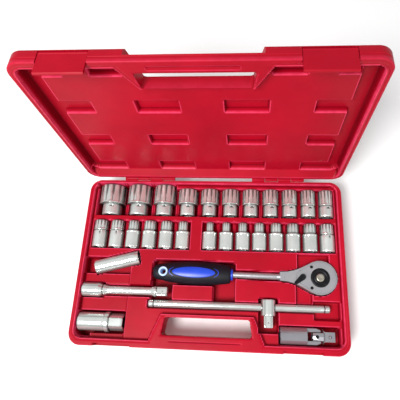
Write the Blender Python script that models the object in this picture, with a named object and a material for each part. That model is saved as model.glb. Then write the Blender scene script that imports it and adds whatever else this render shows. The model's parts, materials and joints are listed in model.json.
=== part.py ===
# Socket wrench set in a moulded case: a hinged double-wall case, sockets, ratchet and drive tools.
# Metres, +Z up. The origin is the centre of the case's underside, +X runs along the case and
# +Y points to the hinge. The lid is built closed and then turned open about its hinge.

import math

import bmesh
import bpy
from mathutils import Matrix, Vector
from mathutils.geometry import interpolate_bezier

# Clearances
GAP = 0.0003                # between pieces that touch
RUNNING_GAP = 0.0004        # round pieces that turn or slide in each other
POCKET_GAP = 0.0010         # tray pocket around the tool it holds
END_GAP = 0.0015            # tray pocket past the ends of a tool
POCKET_CORNER = 0.0020
GRIP_POCKET_CORNER = 0.0060
OVERSHOOT = 0.005           # how far a cutter runs past the face that it cuts

# Case
CASE_LENGTH = 0.390
CASE_WIDTH = 0.246
CASE_CORNER = 0.018
BASE_HEIGHT = 0.046
LID_HEIGHT = 0.0197
FOOT_CHAMFER = 0.003
WALL = 0.0022               # moulded skin
SOLID_EDGE = 0.0030         # solid plastic left around a pocket
RIM_SIDE = 0.0075
RIM_FRONT = 0.0100
RIM_BACK = 0.0050
RECESS_CORNER = 0.011
LAND_DROP = 0.008           # tray surface below the rim
VENT_RADIUS = 0.0030
VENT_PLACE = 0.75           # of the case's half length, to the left

# Lid
LID_OPEN = math.radians(96.2)
PANEL_DROP = 0.010          # raised panel inside the lid, below its rim
CHANNEL_DROP = 0.0172       # side channels and the panel's pockets
CHANNEL_CORNER = 0.0060
PANEL_HALF = 0.170
LID_BACK_SLOPE = 0.009      # how far the lid's back inner wall leans in
LID_POCKET = (0.053, 0.023)
LID_POCKET_PITCH = (0.1056, 0.0693)
LID_POCKET_COLUMNS = 4
LID_POCKET_ROWS = 3
LID_FIRST_POCKET = 0.0245   # first row's centre from the hinge edge
LID_TOP_POCKETS = (0.215, 0.232)
LID_TOP_SPANS = (0.079, 0.116, 0.146)  # edges of those pockets from the middle

# Hinge
HINGE_RADIUS = 0.0026
PIN_RADIUS = 0.00125
KNUCKLE_LENGTH = 0.020
KNUCKLES = 4
HINGE_CENTRE = 0.100
KNUCKLE_ROOT = 0.0032       # height of the web that carries a knuckle

# Handle and latches
WINDOW_BACK = 0.0415        # from the case's front face
WINDOW_FRONT = 0.0172
WINDOW_HALF_BACK = 0.0595
WINDOW_HALF_FRONT = 0.0635
WINDOW_CORNER = 0.0040
BLOCK_BACK = 0.0460
BLOCK_HALF_BACK = 0.0660
BLOCK_HALF_FRONT = 0.0810
HANDLE_UNDERCUT = 0.018     # the base is this much higher off the ground under its handle
LID_HANDLE_THICKNESS = 0.009
HANDLE_HALF = 0.0705
LATCH_CENTRE = 0.132
LATCH_WIDTH = 0.052
LATCH_THICKNESS = 0.0024
LATCH_AXIS_RISE = 0.0135    # above the lid's rim
LATCH_REACH = 0.0130        # below the lid's rim
LATCH_BARREL = 0.0017
LATCH_PIN = 0.0010
LATCH_PIN_LENGTH = 0.0018
LATCH_RECESS = 0.0040
LATCH_LIP = (0.0006, 0.0010, 0.0030, 0.0040)  # a latch's lip: depth, bevel, and its height's two ends

# Sockets
DRIVE = 0.0127              # square drive across its flats
SQUARE_SHOULDER = 0.62      # radius of the shoulder behind a square, as a share of it
SQUARE_STEP = 0.0010        # length over which a round section turns square
CORNER_SHARE = 0.75         # circle round a square's corners, with room, as a share of it
SIDES = 24
OD_FACTOR = 1.22            # outside diameter = factor x size + wall
OD_WALL = 0.0015
LONG_SOCKET = 0.047
SOCKET = 0.041
LONG_SOCKET_COUNT = 3
NOSE_1 = 0.0295             # nose lengths of the two rows
NOSE_2 = 0.0150
DRIVE_END = 0.0215          # smallest diameter of a drive end
DRIVE_END_SHARE = 0.74
SOCKET_CHAMFER = 0.0010
SQUARE_DEPTH = 0.015
HEX_DEPTH = 0.016
BORE_SHARE = 0.64           # bore between them, as a share of the smaller one
TOP_MARGIN = 0.0005         # socket tops below the rim
ROW_1 = (32, 30, 27, 24, 22, 21, 20, 19, 18, 17, 16)
ROW_2_INCH = (("5_8in", 15.88), ("19_32in", 15.08), ("1_2in", 12.70), ("9_16in", 14.29),
              ("17_32in", 13.49), ("7_16in", 11.11))
ROW_2_METRIC = (8, 9, 10, 11, 12, 13, 14, 15)
ROW_1_EDGE = 0.0042         # tray wall to the first and last socket
ROW_2_EDGE = 0.0151         # tray wall to the centre of the first and last socket
INCH_PITCH = 0.0257
METRIC_PITCH = 0.0250
ROW_LAND = 0.0115           # tray land between the rows
RIDGE_DROP = 0.0045         # ridge between two sockets, below the lower one's axis
RIDGE_WIDTH = 0.010         # neighbours with more than this between them have a full land there

# Hollows in the tray that leave room for fingers
LABEL_COLUMN = 0.0695       # width of the lower land at the left end
LABEL_DROP = 0.0040         # how far it lies below the rest
FINGER_WIDTH = 0.0320       # hollows beside the grip, and past its ring
FINGER_END = 0.0040
SMALL_PLUG_ROOM = (0.0015, 0.0217)    # hollow's edges from the ratchet's axis
LARGE_PLUG_ROOM = (0.0195, 0.0050)    # length and depth beside the pocket
HEAD_ROOM = (0.0310, 0.0145, 0.0342)  # hollow above the head: left, right and back edge
HEAD_TEE_ROOM = (0.0340, 0.0115)
HEAD_ROOM_DROP = 0.0080
TEE_END_ROOM = (0.0230, 0.0145, 0.0147, 0.0100)  # left, right, front and back of the bar's end
TEE_TIP_ROOM = 0.0060
JOINT_END_ROOM = 0.0070
EXTENSION_SLIM_HALF = 0.0082  # pocket's half width beside the thin part

# Ratchet, in its own frame: X along the handle, the gear's axis at the origin
RATCHET_FROM_WALL = 0.0288
RATCHET_FROM_ROW = 0.0377
RATCHET_DROP = 0.012        # axis below the rim
RATCHET_TURN = math.radians(-0.72)
HEAD_RADIUS = 0.02385
HEAD_TOP = 0.0095
HEAD_BOTTOM = -0.0115
NECK_X = -0.0567
NECK_HALF = 0.0060
HEAD_FLOW = 0.018           # how far the head's and the neck's lines run on in the curve between them
NECK_FLOW = 0.020
SHAFT_RADIUS = 0.0045
SHANK_FLARE = (0.004, 0.012, 0.020)   # where it swells into the neck: before, past and its end
GRIP_START = -0.1277
GRIP_LENGTH = 0.1145
GRIP_HALF = 0.0170
GRIP_HALF_HEIGHT = 0.0140
GRIP_SLIM = 0.72            # its half width at the shaft, as a share of the widest
GRIP_BULGE_END = 1.15
GRIP_BULGE_POWER = 0.7
GRIP_TAIL = 0.84            # share of its length where the far end starts to round off
GRIP_TAIL_POWER = 2.4
GRIP_END_SHARE = 0.86       # end faces against the section beside them
TANG_LENGTH = 0.084
GRIP_RING_LENGTH = 0.0032
GRIP_RING_RADIUS = 0.0082
EYELET_FROM_END = 0.0158
EYELET_RADIUS = 0.0069
EYELET_HOLE = 0.0042
EYELET_CUT = 0.62           # half height of the eyelet, as a share of the grip's
INLAY_LENGTH = 0.0655
INLAY_HALF = 0.0080
INLAY_FROM_START = 0.0205
INLAY_DEPTH = 0.0030
INLAY_CROWN = (0.9, 0.8)    # top against its outline, along and across
INLAY_EDGE = 0.0016         # its edge and its top, below the grip's top
INLAY_SUNK = 0.0004
GEAR_RADIUS = 0.0140
GEAR_RING = 0.0132
GEAR_TEETH = 18
GEAR_TOOTH = 0.0012
GEAR_HALF = 0.0075
DRIVE_SHANK = 0.0092
RATCHET_SQUARE = 0.0150
BUTTON_RADIUS = 0.0077
BUTTON_HEIGHT = 0.0052
BUTTON_TRAVEL = 0.0025
BUTTON_CROWN = (0.0008, 0.0012)  # rise and inset of its top
COVER_THICKNESS = 0.0017
COVER_RADIUS = 0.0222
COVER_TAIL = 0.0090
LEVER_X = -0.0245
LEVER_RADIUS = 0.0042
LEVER_LENGTH = 0.0154
LEVER_ANGLE = math.radians(221.6)
LEVER_THICKNESS = 0.0025
LEVER_SHAFT = 0.0028
LEVER_TIP = 0.55            # radius of its tip, as a share of its root's
PAWL_X = -0.0178            # pivot
PAWL_BACK = -0.0207
PAWL_BACK_HALF = 0.0050
PAWL_CLEARANCE = 0.0009     # from its face to the gear's tips
PAWL_SPREAD = math.radians(26)
PAWL_ROOM = (0.0045, -0.010, 0.0095)  # its hollow: past the lever's axis, right edge, half width
SCREW_X = -0.0120
SCREW_Y = 0.0147
SCREW_HEAD = 0.0021
SCREW_SHANK = 0.0012
SCREW_TIP = 0.0020          # above the ratchet's middle plane
SCREW_SEAT = 0.0008         # under its head, in the cover

# Sliding T handle
TEE_LENGTH = 0.258
TEE_RADIUS = 0.00525
TEE_FROM_WALL = 0.0162
TEE_FROM_RATCHET = 0.0426
TEE_HEAD_FROM_END = 0.0856
TEE_HEAD_RADIUS = 0.0101
TEE_HEAD_BACK = 0.0108
TEE_HEAD_FRONT = 0.0115
TEE_SLIDE = 0.0025          # room that the pocket leaves the head each way
TEE_LEFT_BALL = 0.0125      # from the bar's left end

# Extension bar
EXTENSION_LENGTH = 0.126
EXTENSION_RADIUS = 0.0100
EXTENSION_SOCKET = 0.025
EXTENSION_TAPER = 0.0080
EXTENSION_THIN = 0.0058
EXTENSION_COLLAR = 0.0060    # length of the swelling before its square
EXTENSION_FROM_TEE = 0.0168

# Universal joint
JOINT_LENGTH = 0.0737
JOINT_RADIUS = 0.0115
JOINT_FROM_WALL = 0.0121
JOINT_FROM_FRONT = 0.0135
JOINT_CENTRE = 0.0245       # cross centre from the drive tip
JOINT_BLOCK = 0.0052
JOINT_EAR = 0.0058          # inner face of a yoke's ear from the axis
JOINT_PIN = 0.0022
JOINT_EAR_TAPER = 0.0020
JOINT_EAR_RELIEF = 0.0008    # an ear is this much narrower than the other yoke's gap
JOINT_PIN_SUNK = 0.0012     # pin ends below the yokes' round
JOINT_SWING = 0.0015        # room past the round for the other yoke
JOINT_FORK_ROOM = 0.0010
JOINT_SQUARE = 0.0130       # length of its square
JOINT_TAPER = 0.0030
JOINT_EAR_END = 0.0055      # how far an ear reaches past the cross's centre
JOINT_SHOULDER = 0.0087     # drive yoke's shoulder from the centre, clear of the other's ears

# Spark plug sockets
SMALL_PLUG_SIZE = 0.016
SMALL_PLUG_LENGTH = 0.066
SMALL_PLUG_RADIUS = 0.0103
SMALL_PLUG_FROM_WALL = 0.04825
SMALL_PLUG_FROM_RATCHET = 0.01485
SMALL_PLUG_TURN = math.radians(14.6)
LARGE_PLUG_SIZE = 0.0208
LARGE_PLUG_LENGTH = 0.065
LARGE_PLUG_RADIUS = 0.0128
LARGE_PLUG_COLLAR = 0.0140
LARGE_PLUG_HEX = 0.0200
LARGE_PLUG_HEX_LENGTH = 0.020
LARGE_PLUG_COLLAR_LENGTH = 0.0060
LARGE_PLUG_FROM_FRONT = 0.022
PLUG_FLOOR = 0.003           # from the square or the outer hexagon to the inner one
PLUG_INSERT_LENGTH = 0.012
PLUG_INSERT_DEPTH = 0.022
PLUG_INSERT_WALL = 0.0016

# Spring balls that hold a socket on a square
BALL_RADIUS = 0.0019
BALL_PROUD = 0.0007
BALL_FROM_TIP = 0.0065

# Places worked out from the sizes above
HALF_LENGTH = CASE_LENGTH / 2
HALF_WIDTH = CASE_WIDTH / 2
INNER_HALF = HALF_LENGTH - RIM_SIDE
INNER_BACK = HALF_WIDTH - RIM_BACK
INNER_FRONT = RIM_FRONT - HALF_WIDTH
LAND_Z = BASE_HEIGHT - LAND_DROP
LID_RIM_Z = BASE_HEIGHT + GAP
LID_TOP_Z = LID_RIM_Z + LID_HEIGHT
HINGE_Y = HALF_WIDTH + HINGE_RADIUS
HINGE_Z = BASE_HEIGHT + GAP / 2
ROW_1_Y = INNER_BACK - END_GAP - LONG_SOCKET
ROW_2_Y = ROW_1_Y - ROW_LAND - SOCKET
RATCHET_X = INNER_HALF - RATCHET_FROM_WALL
RATCHET_Y = ROW_2_Y - RATCHET_FROM_ROW
RATCHET_Z = BASE_HEIGHT - RATCHET_DROP
TEE_X = INNER_HALF - TEE_FROM_WALL
TEE_Y = RATCHET_Y - TEE_FROM_RATCHET
EXTENSION_Y = TEE_Y + EXTENSION_FROM_TEE
JOINT_Y = INNER_FRONT + JOINT_FROM_FRONT
LARGE_PLUG_Y = INNER_FRONT + LARGE_PLUG_FROM_FRONT

PLASTIC = ("case_plastic", (0.60, 0.008, 0.022, 1), 0.0, 0.38)
CHROME = ("polished_chrome", (0.80, 0.81, 0.83, 1), 1.0, 0.12)
SATIN = ("satin_chrome", (0.62, 0.63, 0.64, 1), 1.0, 0.32)
STEEL = ("dark_steel", (0.05, 0.05, 0.055, 1), 1.0, 0.40)
PIN_STEEL = ("pin_steel", (0.45, 0.45, 0.46, 1), 1.0, 0.30)
BLACK_GRIP = ("grip_rubber", (0.015, 0.015, 0.017, 1), 0.0, 0.55)
BLUE = ("blue_inlay", (0.010, 0.070, 0.50, 1), 0.0, 0.40)
EYELET_BLUE = ("eyelet_plastic", (0.40, 0.62, 0.85, 1), 0.0, 0.35)
RUBBER = ("insert_rubber", (0.02, 0.02, 0.02, 1), 0.0, 0.80)


def material_of(look):
    name, colour, metallic, roughness = look
    material = bpy.data.materials.get(name)
    if material is None:
        material = bpy.data.materials.new(name)
        material.use_nodes = True
        shader = material.node_tree.nodes["Principled BSDF"]
        shader.inputs["Base Color"].default_value = colour
        shader.inputs["Metallic"].default_value = metallic
        shader.inputs["Roughness"].default_value = roughness
        material.diffuse_color = colour
    return material


# ---- Outlines and solids -------------------------------------------------------------------

def circle(radius, sides=SIDES):
    steps = (2 * math.pi * i / sides for i in range(sides))
    return [(radius * math.cos(t), radius * math.sin(t)) for t in steps]


def polygon_ring(across_flats, corners, sides=SIDES):
    # Points at equal angles round a regular polygon, which include its corners.
    half = math.pi / corners
    points = []
    for i in range(sides):
        t = 2 * math.pi * i / sides
        radius = across_flats / 2 / math.cos((t + half) % (2 * half) - half)
        points.append((radius * math.cos(t), radius * math.sin(t)))
    return points


def grown(points, grow):
    # The outline moved outwards by grow, edge by edge. Points run anticlockwise as (x, y, radius).
    moved = []
    for i, (x, y, radius) in enumerate(points):
        before = Vector((x, y)) - Vector(points[i - 1][:2])
        after = Vector(points[(i + 1) % len(points)][:2]) - Vector((x, y))
        normals = [Vector((edge.y, -edge.x)).normalized() for edge in (before, after)]
        shift = (normals[0] + normals[1]) * (grow / (1 + normals[0].dot(normals[1])))
        moved.append((x + shift.x, y + shift.y, radius))
    return moved


def rounded(points, grow=0.0, steps=3):
    # Corner points (x, y, radius) made into an outline with arcs.
    outline = []
    moved = grown(points, grow)
    for i, (x, y, radius) in enumerate(moved):
        corner = Vector((x, y))
        if radius == 0:
            outline.append((x, y))
            continue
        back = (Vector(moved[i - 1][:2]) - corner).normalized()
        on = (Vector(moved[(i + 1) % len(moved)][:2]) - corner).normalized()
        half = back.angle(on) / 2
        centre = corner + (back + on).normalized() * (radius / math.sin(half))
        start = corner + back * (radius / math.tan(half)) - centre
        end = corner + on * (radius / math.tan(half)) - centre
        turn = start.angle_signed(end)
        for k in range(steps + 1):
            spoke = start.copy()
            spoke.rotate(Matrix.Rotation(-turn * k / steps, 2))
            outline.append(tuple(centre + spoke))
    return outline


def box_outline(x0, x1, y0, y1, radius=0.0):
    return [(x0, y0, radius), (x1, y0, radius), (x1, y1, radius), (x0, y1, radius)]


def loft(rings, closed=False):
    # Rings of points joined in order. Closed joins the last to the first, else both ends are capped.
    bm = bmesh.new()
    rows = [[bm.verts.new(point) for point in ring] for ring in rings]
    following = rows[1:] + rows[:1] if closed else rows[1:]
    for low, high in zip(rows, following):
        for i in range(len(low)):
            j = (i + 1) % len(low)
            bm.faces.new((low[i], low[j], high[j], high[i]))
    if not closed:
        bm.faces.new(rows[0])
        bm.faces.new(rows[-1])
    bmesh.ops.recalc_face_normals(bm, faces=bm.faces)
    return bm


def prism(outline, low, high):
    return loft([[(x, y, z) for x, y in outline] for z in (low, high)])


def layers(stations, closed=False):
    # Stations are (outline, height) along +Z.
    return loft([[(x, y, z) for x, y in outline] for outline, z in stations], closed)


def turned(profile, sides=SIDES, closed=False):
    # Profile points are (height, radius) round the Z axis.
    return layers([(circle(radius, sides), z) for z, radius in profile], closed)


def ball(radius, sides=8):
    # Rings of latitude, capped by small flats at the poles.
    angles = [math.radians(a) for a in (-70, -25, 25, 70)]
    return turned([(radius * math.sin(a), radius * math.cos(a)) for a in angles], sides)


def facing(bm, direction):
    # Turns a solid built along +Z so that it runs along the given direction.
    turn = Vector((0, 0, 1)).rotation_difference(Vector(direction)).to_matrix()
    bmesh.ops.rotate(bm, cent=(0, 0, 0), matrix=turn, verts=bm.verts)
    return bm


def moved(bm, x, y, z):
    bmesh.ops.translate(bm, vec=(x, y, z), verts=bm.verts)
    return bm


def placed(bm, name, location=(0, 0, 0), parent=None):
    mesh = bpy.data.meshes.new(name)
    bm.to_mesh(mesh)
    bm.free()
    obj = bpy.data.objects.new(name, mesh)
    bpy.context.scene.collection.objects.link(obj)
    obj.location = location
    obj.parent = parent
    return obj


def piece(bm, name, look, location=(0, 0, 0), parent=None):
    obj = placed(bm, name, location, parent)
    obj.data.materials.append(material_of(look))
    obj.data.shade_smooth()
    obj.data.set_sharp_from_angle(angle=math.radians(32))
    return obj


def tool_group(name):
    group = bpy.data.collections.new(name)
    bpy.context.scene.collection.children.link(group)
    return group


def helper(bm, name, group, location=(0, 0, 0), parent=None):
    # A shape that only cuts or joins another: never rendered, and not a piece of the object.
    obj = placed(bm, name, location, parent)
    bpy.context.scene.collection.objects.unlink(obj)
    group.objects.link(obj)
    obj.hide_render = True
    obj.display_type = "WIRE"
    return obj


def apply_group(obj, group, operation="DIFFERENCE"):
    modifier = obj.modifiers.new(group.name, "BOOLEAN")
    modifier.operand_type = "COLLECTION"
    modifier.collection = group
    modifier.operation = operation
    modifier.solver = "EXACT"
    return obj


def frame_empty(name, location, rotation=(0, 0, 0)):
    empty = bpy.data.objects.new(name, None)
    bpy.context.scene.collection.objects.link(empty)
    empty.location = location
    empty.rotation_euler = rotation
    return empty


# ---- Sockets -------------------------------------------------------------------------------

def socket_list():
    # Every socket as name, size, length, nose length and place of its drive end.
    found = []
    diameters = [outside(size / 1000) for size in ROW_1]
    room = 2 * (INNER_HALF - ROW_1_EDGE) - sum(diameters)
    spacing = room / (len(ROW_1) - 1)
    x = -INNER_HALF + ROW_1_EDGE
    for i, size in enumerate(ROW_1):
        length = LONG_SOCKET if i < LONG_SOCKET_COUNT else SOCKET
        nose = NOSE_1 - LONG_SOCKET + length
        found.append((f"socket_{size}mm", size / 1000, length, nose, x + diameters[i] / 2, ROW_1_Y))
        x += diameters[i] + spacing
    for i, (label, size) in enumerate(ROW_2_INCH):
        x = -INNER_HALF + ROW_2_EDGE + i * INCH_PITCH
        found.append((f"socket_{label}", size / 1000, SOCKET, NOSE_2, x, ROW_2_Y))
    for i, size in enumerate(reversed(ROW_2_METRIC)):
        x = INNER_HALF - ROW_2_EDGE - i * METRIC_PITCH
        found.append((f"socket_{size}mm", size / 1000, SOCKET, NOSE_2, x, ROW_2_Y))
    return found


def outside(size):
    return OD_FACTOR * size + OD_WALL


def drive_end(size):
    return max(DRIVE_END, DRIVE_END_SHARE * outside(size))


def widest(size):
    return max(outside(size), drive_end(size)) / 2


def resting_axis(radius):
    # Height of a lying tool's axis that brings its top just under the rim.
    return BASE_HEIGHT - TOP_MARGIN - radius


def hollow_socket(outer, length, size, square_depth, hex_depth):
    # A wrench socket: its outside, then the hexagon, a plain bore and the square drive inside.
    bore = BORE_SHARE * min(size, DRIVE)
    inner = [
        (polygon_ring(size, 6), length),
        (polygon_ring(size, 6), length - hex_depth),
        (polygon_ring(bore, 4), length - hex_depth),
        (polygon_ring(bore, 4), square_depth),
        (polygon_ring(DRIVE, 4), square_depth),
        (polygon_ring(DRIVE, 4), 0),
    ]
    return layers([(circle(radius), z) for z, radius in outer] + inner, closed=True)


def build_sockets():
    for name, size, length, nose, x, y in socket_list():
        wide = drive_end(size) / 2
        step = length - nose
        outer = [(0, wide), (step, wide), (step, outside(size) / 2), (length, outside(size) / 2)]
        if abs(wide - outside(size) / 2) < GAP:
            outer = [(0, wide), (length, wide)]
        solid = hollow_socket(outer, length, size, SQUARE_DEPTH, HEX_DEPTH)
        piece(facing(solid, (0, 1, 0)), name, CHROME, (x, y, resting_axis(widest(size))))


def build_plug_socket(name, outer, length, size, location, turn, hexagon=None):
    frame = frame_empty(f"{name}_frame", location, (0, 0, turn))
    start = (LARGE_PLUG_HEX_LENGTH if hexagon else SQUARE_DEPTH) + PLUG_FLOOR
    solid = hollow_socket(outer, length, size, SQUARE_DEPTH, length - start)
    shell = piece(facing(solid, (1, 0, 0)), name, CHROME, parent=frame)
    if hexagon:
        # The drive end is a hexagon outside: everything beyond it is cut away.
        group = tool_group(f"{name}_flats")
        ring = layers([(circle(2 * hexagon), -OVERSHOOT), (polygon_ring(hexagon, 6), -OVERSHOOT),
                       (polygon_ring(hexagon, 6), LARGE_PLUG_HEX_LENGTH),
                       (circle(2 * hexagon), LARGE_PLUG_HEX_LENGTH)], closed=True)
        helper(facing(ring, (1, 0, 0)), f"{name}_flats_cut", group, parent=frame)
        apply_group(shell, group)
    outer_radius = size / 2 - GAP
    start = length - PLUG_INSERT_DEPTH - PLUG_INSERT_LENGTH
    profile = [(start, outer_radius), (start + PLUG_INSERT_LENGTH, outer_radius),
               (start + PLUG_INSERT_LENGTH, outer_radius - PLUG_INSERT_WALL),
               (start, outer_radius - PLUG_INSERT_WALL)]
    insert = turned(profile, closed=True)
    piece(facing(insert, (1, 0, 0)), f"{name}_insert", RUBBER, parent=frame)


def small_plug_place():
    centre = Vector((SMALL_PLUG_FROM_WALL - INNER_HALF, RATCHET_Y + SMALL_PLUG_FROM_RATCHET, 0))
    along = Vector((math.cos(SMALL_PLUG_TURN), math.sin(SMALL_PLUG_TURN), 0))
    start = centre - along * (SMALL_PLUG_LENGTH / 2)
    return (start.x, start.y, resting_axis(SMALL_PLUG_RADIUS))


def large_plug_place():
    # The large one's mouth points to -X, so its drive end is the far one.
    x = END_GAP - INNER_HALF + LARGE_PLUG_LENGTH
    return (x, LARGE_PLUG_Y, resting_axis(LARGE_PLUG_COLLAR))


def build_plug_sockets():
    small = [(0, SMALL_PLUG_RADIUS - SOCKET_CHAMFER), (SOCKET_CHAMFER, SMALL_PLUG_RADIUS),
             (SMALL_PLUG_LENGTH, SMALL_PLUG_RADIUS)]
    build_plug_socket("plug_socket_small", small, SMALL_PLUG_LENGTH, SMALL_PLUG_SIZE,
                      small_plug_place(), SMALL_PLUG_TURN)
    collar_end = LARGE_PLUG_HEX_LENGTH + LARGE_PLUG_COLLAR_LENGTH
    large = [(0, LARGE_PLUG_RADIUS), (LARGE_PLUG_HEX_LENGTH, LARGE_PLUG_RADIUS),
             (LARGE_PLUG_HEX_LENGTH, LARGE_PLUG_COLLAR), (collar_end, LARGE_PLUG_COLLAR),
             (collar_end, LARGE_PLUG_RADIUS), (LARGE_PLUG_LENGTH, LARGE_PLUG_RADIUS)]
    build_plug_socket("plug_socket_large", large, LARGE_PLUG_LENGTH, LARGE_PLUG_SIZE,
                      large_plug_place(), math.pi, LARGE_PLUG_HEX)


# ---- Spring balls --------------------------------------------------------------------------

def spring_ball(name, location, surface):
    # A ball in a blind hole that faces up, proud of a surface at this height above the location.
    centre = surface + BALL_PROUD - BALL_RADIUS
    place = (location[0], location[1], location[2] + centre)
    piece(ball(BALL_RADIUS), name, PIN_STEEL, place)
    group = tool_group(f"{name}_hole")
    depth = centre - BALL_RADIUS - 2 * BALL_PROUD
    hole = turned([(depth, BALL_RADIUS + GAP), (surface + OVERSHOOT, BALL_RADIUS + GAP)], 12)
    helper(hole, f"{name}_drill", group, location)
    return group


# ---- Extension bar -------------------------------------------------------------------------

def build_extension():
    z = resting_axis(EXTENSION_RADIUS)
    start = END_GAP - INNER_HALF
    square_start = EXTENSION_LENGTH - SQUARE_DEPTH
    stations = [
        (circle(EXTENSION_RADIUS - SOCKET_CHAMFER), 0),
        (circle(EXTENSION_RADIUS), SOCKET_CHAMFER),
        (circle(EXTENSION_RADIUS), EXTENSION_SOCKET),
        (circle(EXTENSION_THIN), EXTENSION_SOCKET + EXTENSION_TAPER),
        (circle(EXTENSION_THIN), square_start - EXTENSION_COLLAR),
        (circle(DRIVE * SQUARE_SHOULDER), square_start - SQUARE_STEP),
        (polygon_ring(DRIVE, 4), square_start),
        (polygon_ring(DRIVE, 4), EXTENSION_LENGTH),
    ]
    bar = piece(facing(layers(stations), (1, 0, 0)), "extension_bar", CHROME, (start, EXTENSION_Y, z))
    group = tool_group("extension_female")
    square = prism(polygon_ring(DRIVE + GAP, 4), -OVERSHOOT, SQUARE_DEPTH)
    helper(facing(square, (1, 0, 0)), "extension_square_cut", group, (start, EXTENSION_Y, z))
    apply_group(bar, group)
    tip = (start + EXTENSION_LENGTH - BALL_FROM_TIP, EXTENSION_Y, z)
    apply_group(bar, spring_ball("extension_ball", tip, DRIVE / 2))


# ---- Sliding T handle ----------------------------------------------------------------------

def build_tee():
    z = RATCHET_Z
    head_x = TEE_X - TEE_HEAD_FROM_END
    start = (TEE_X - TEE_LENGTH, TEE_Y, z)
    profile = [(0, TEE_RADIUS - SOCKET_CHAMFER), (SOCKET_CHAMFER, TEE_RADIUS),
               (TEE_LENGTH - SOCKET_CHAMFER, TEE_RADIUS), (TEE_LENGTH, TEE_RADIUS - SOCKET_CHAMFER)]
    bar = piece(facing(turned(profile), (1, 0, 0)), "tee_bar", CHROME, start)
    left_ball = (start[0] + TEE_LEFT_BALL, TEE_Y, z)
    right_ball = (TEE_X - BALL_FROM_TIP, TEE_Y, z)
    apply_group(bar, spring_ball("tee_bar_ball_left", left_ball, TEE_RADIUS))
    apply_group(bar, spring_ball("tee_bar_ball_right", right_ball, TEE_RADIUS))
    square_start = TEE_HEAD_FRONT + SQUARE_STEP
    stations = [
        (circle(TEE_HEAD_RADIUS - SOCKET_CHAMFER), -TEE_HEAD_BACK),
        (circle(TEE_HEAD_RADIUS), SOCKET_CHAMFER - TEE_HEAD_BACK),
        (circle(TEE_HEAD_RADIUS), TEE_HEAD_FRONT - SOCKET_CHAMFER),
        (polygon_ring(DRIVE, 4), square_start),
        (polygon_ring(DRIVE, 4), square_start + SQUARE_DEPTH),
    ]
    head = piece(facing(layers(stations), (0, -1, 0)), "tee_head", CHROME, (head_x, TEE_Y, z))
    group = tool_group("tee_head_bore")
    bore = turned([(-2 * TEE_HEAD_RADIUS, TEE_RADIUS + RUNNING_GAP),
                   (2 * TEE_HEAD_RADIUS, TEE_RADIUS + RUNNING_GAP)])
    helper(facing(bore, (1, 0, 0)), "tee_head_drill", group, (head_x, TEE_Y, z))
    apply_group(head, group)
    tip = (head_x, TEE_Y - square_start - SQUARE_DEPTH + BALL_FROM_TIP, z)
    apply_group(head, spring_ball("tee_head_ball", tip, DRIVE / 2))


# ---- Universal joint -----------------------------------------------------------------------

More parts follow.
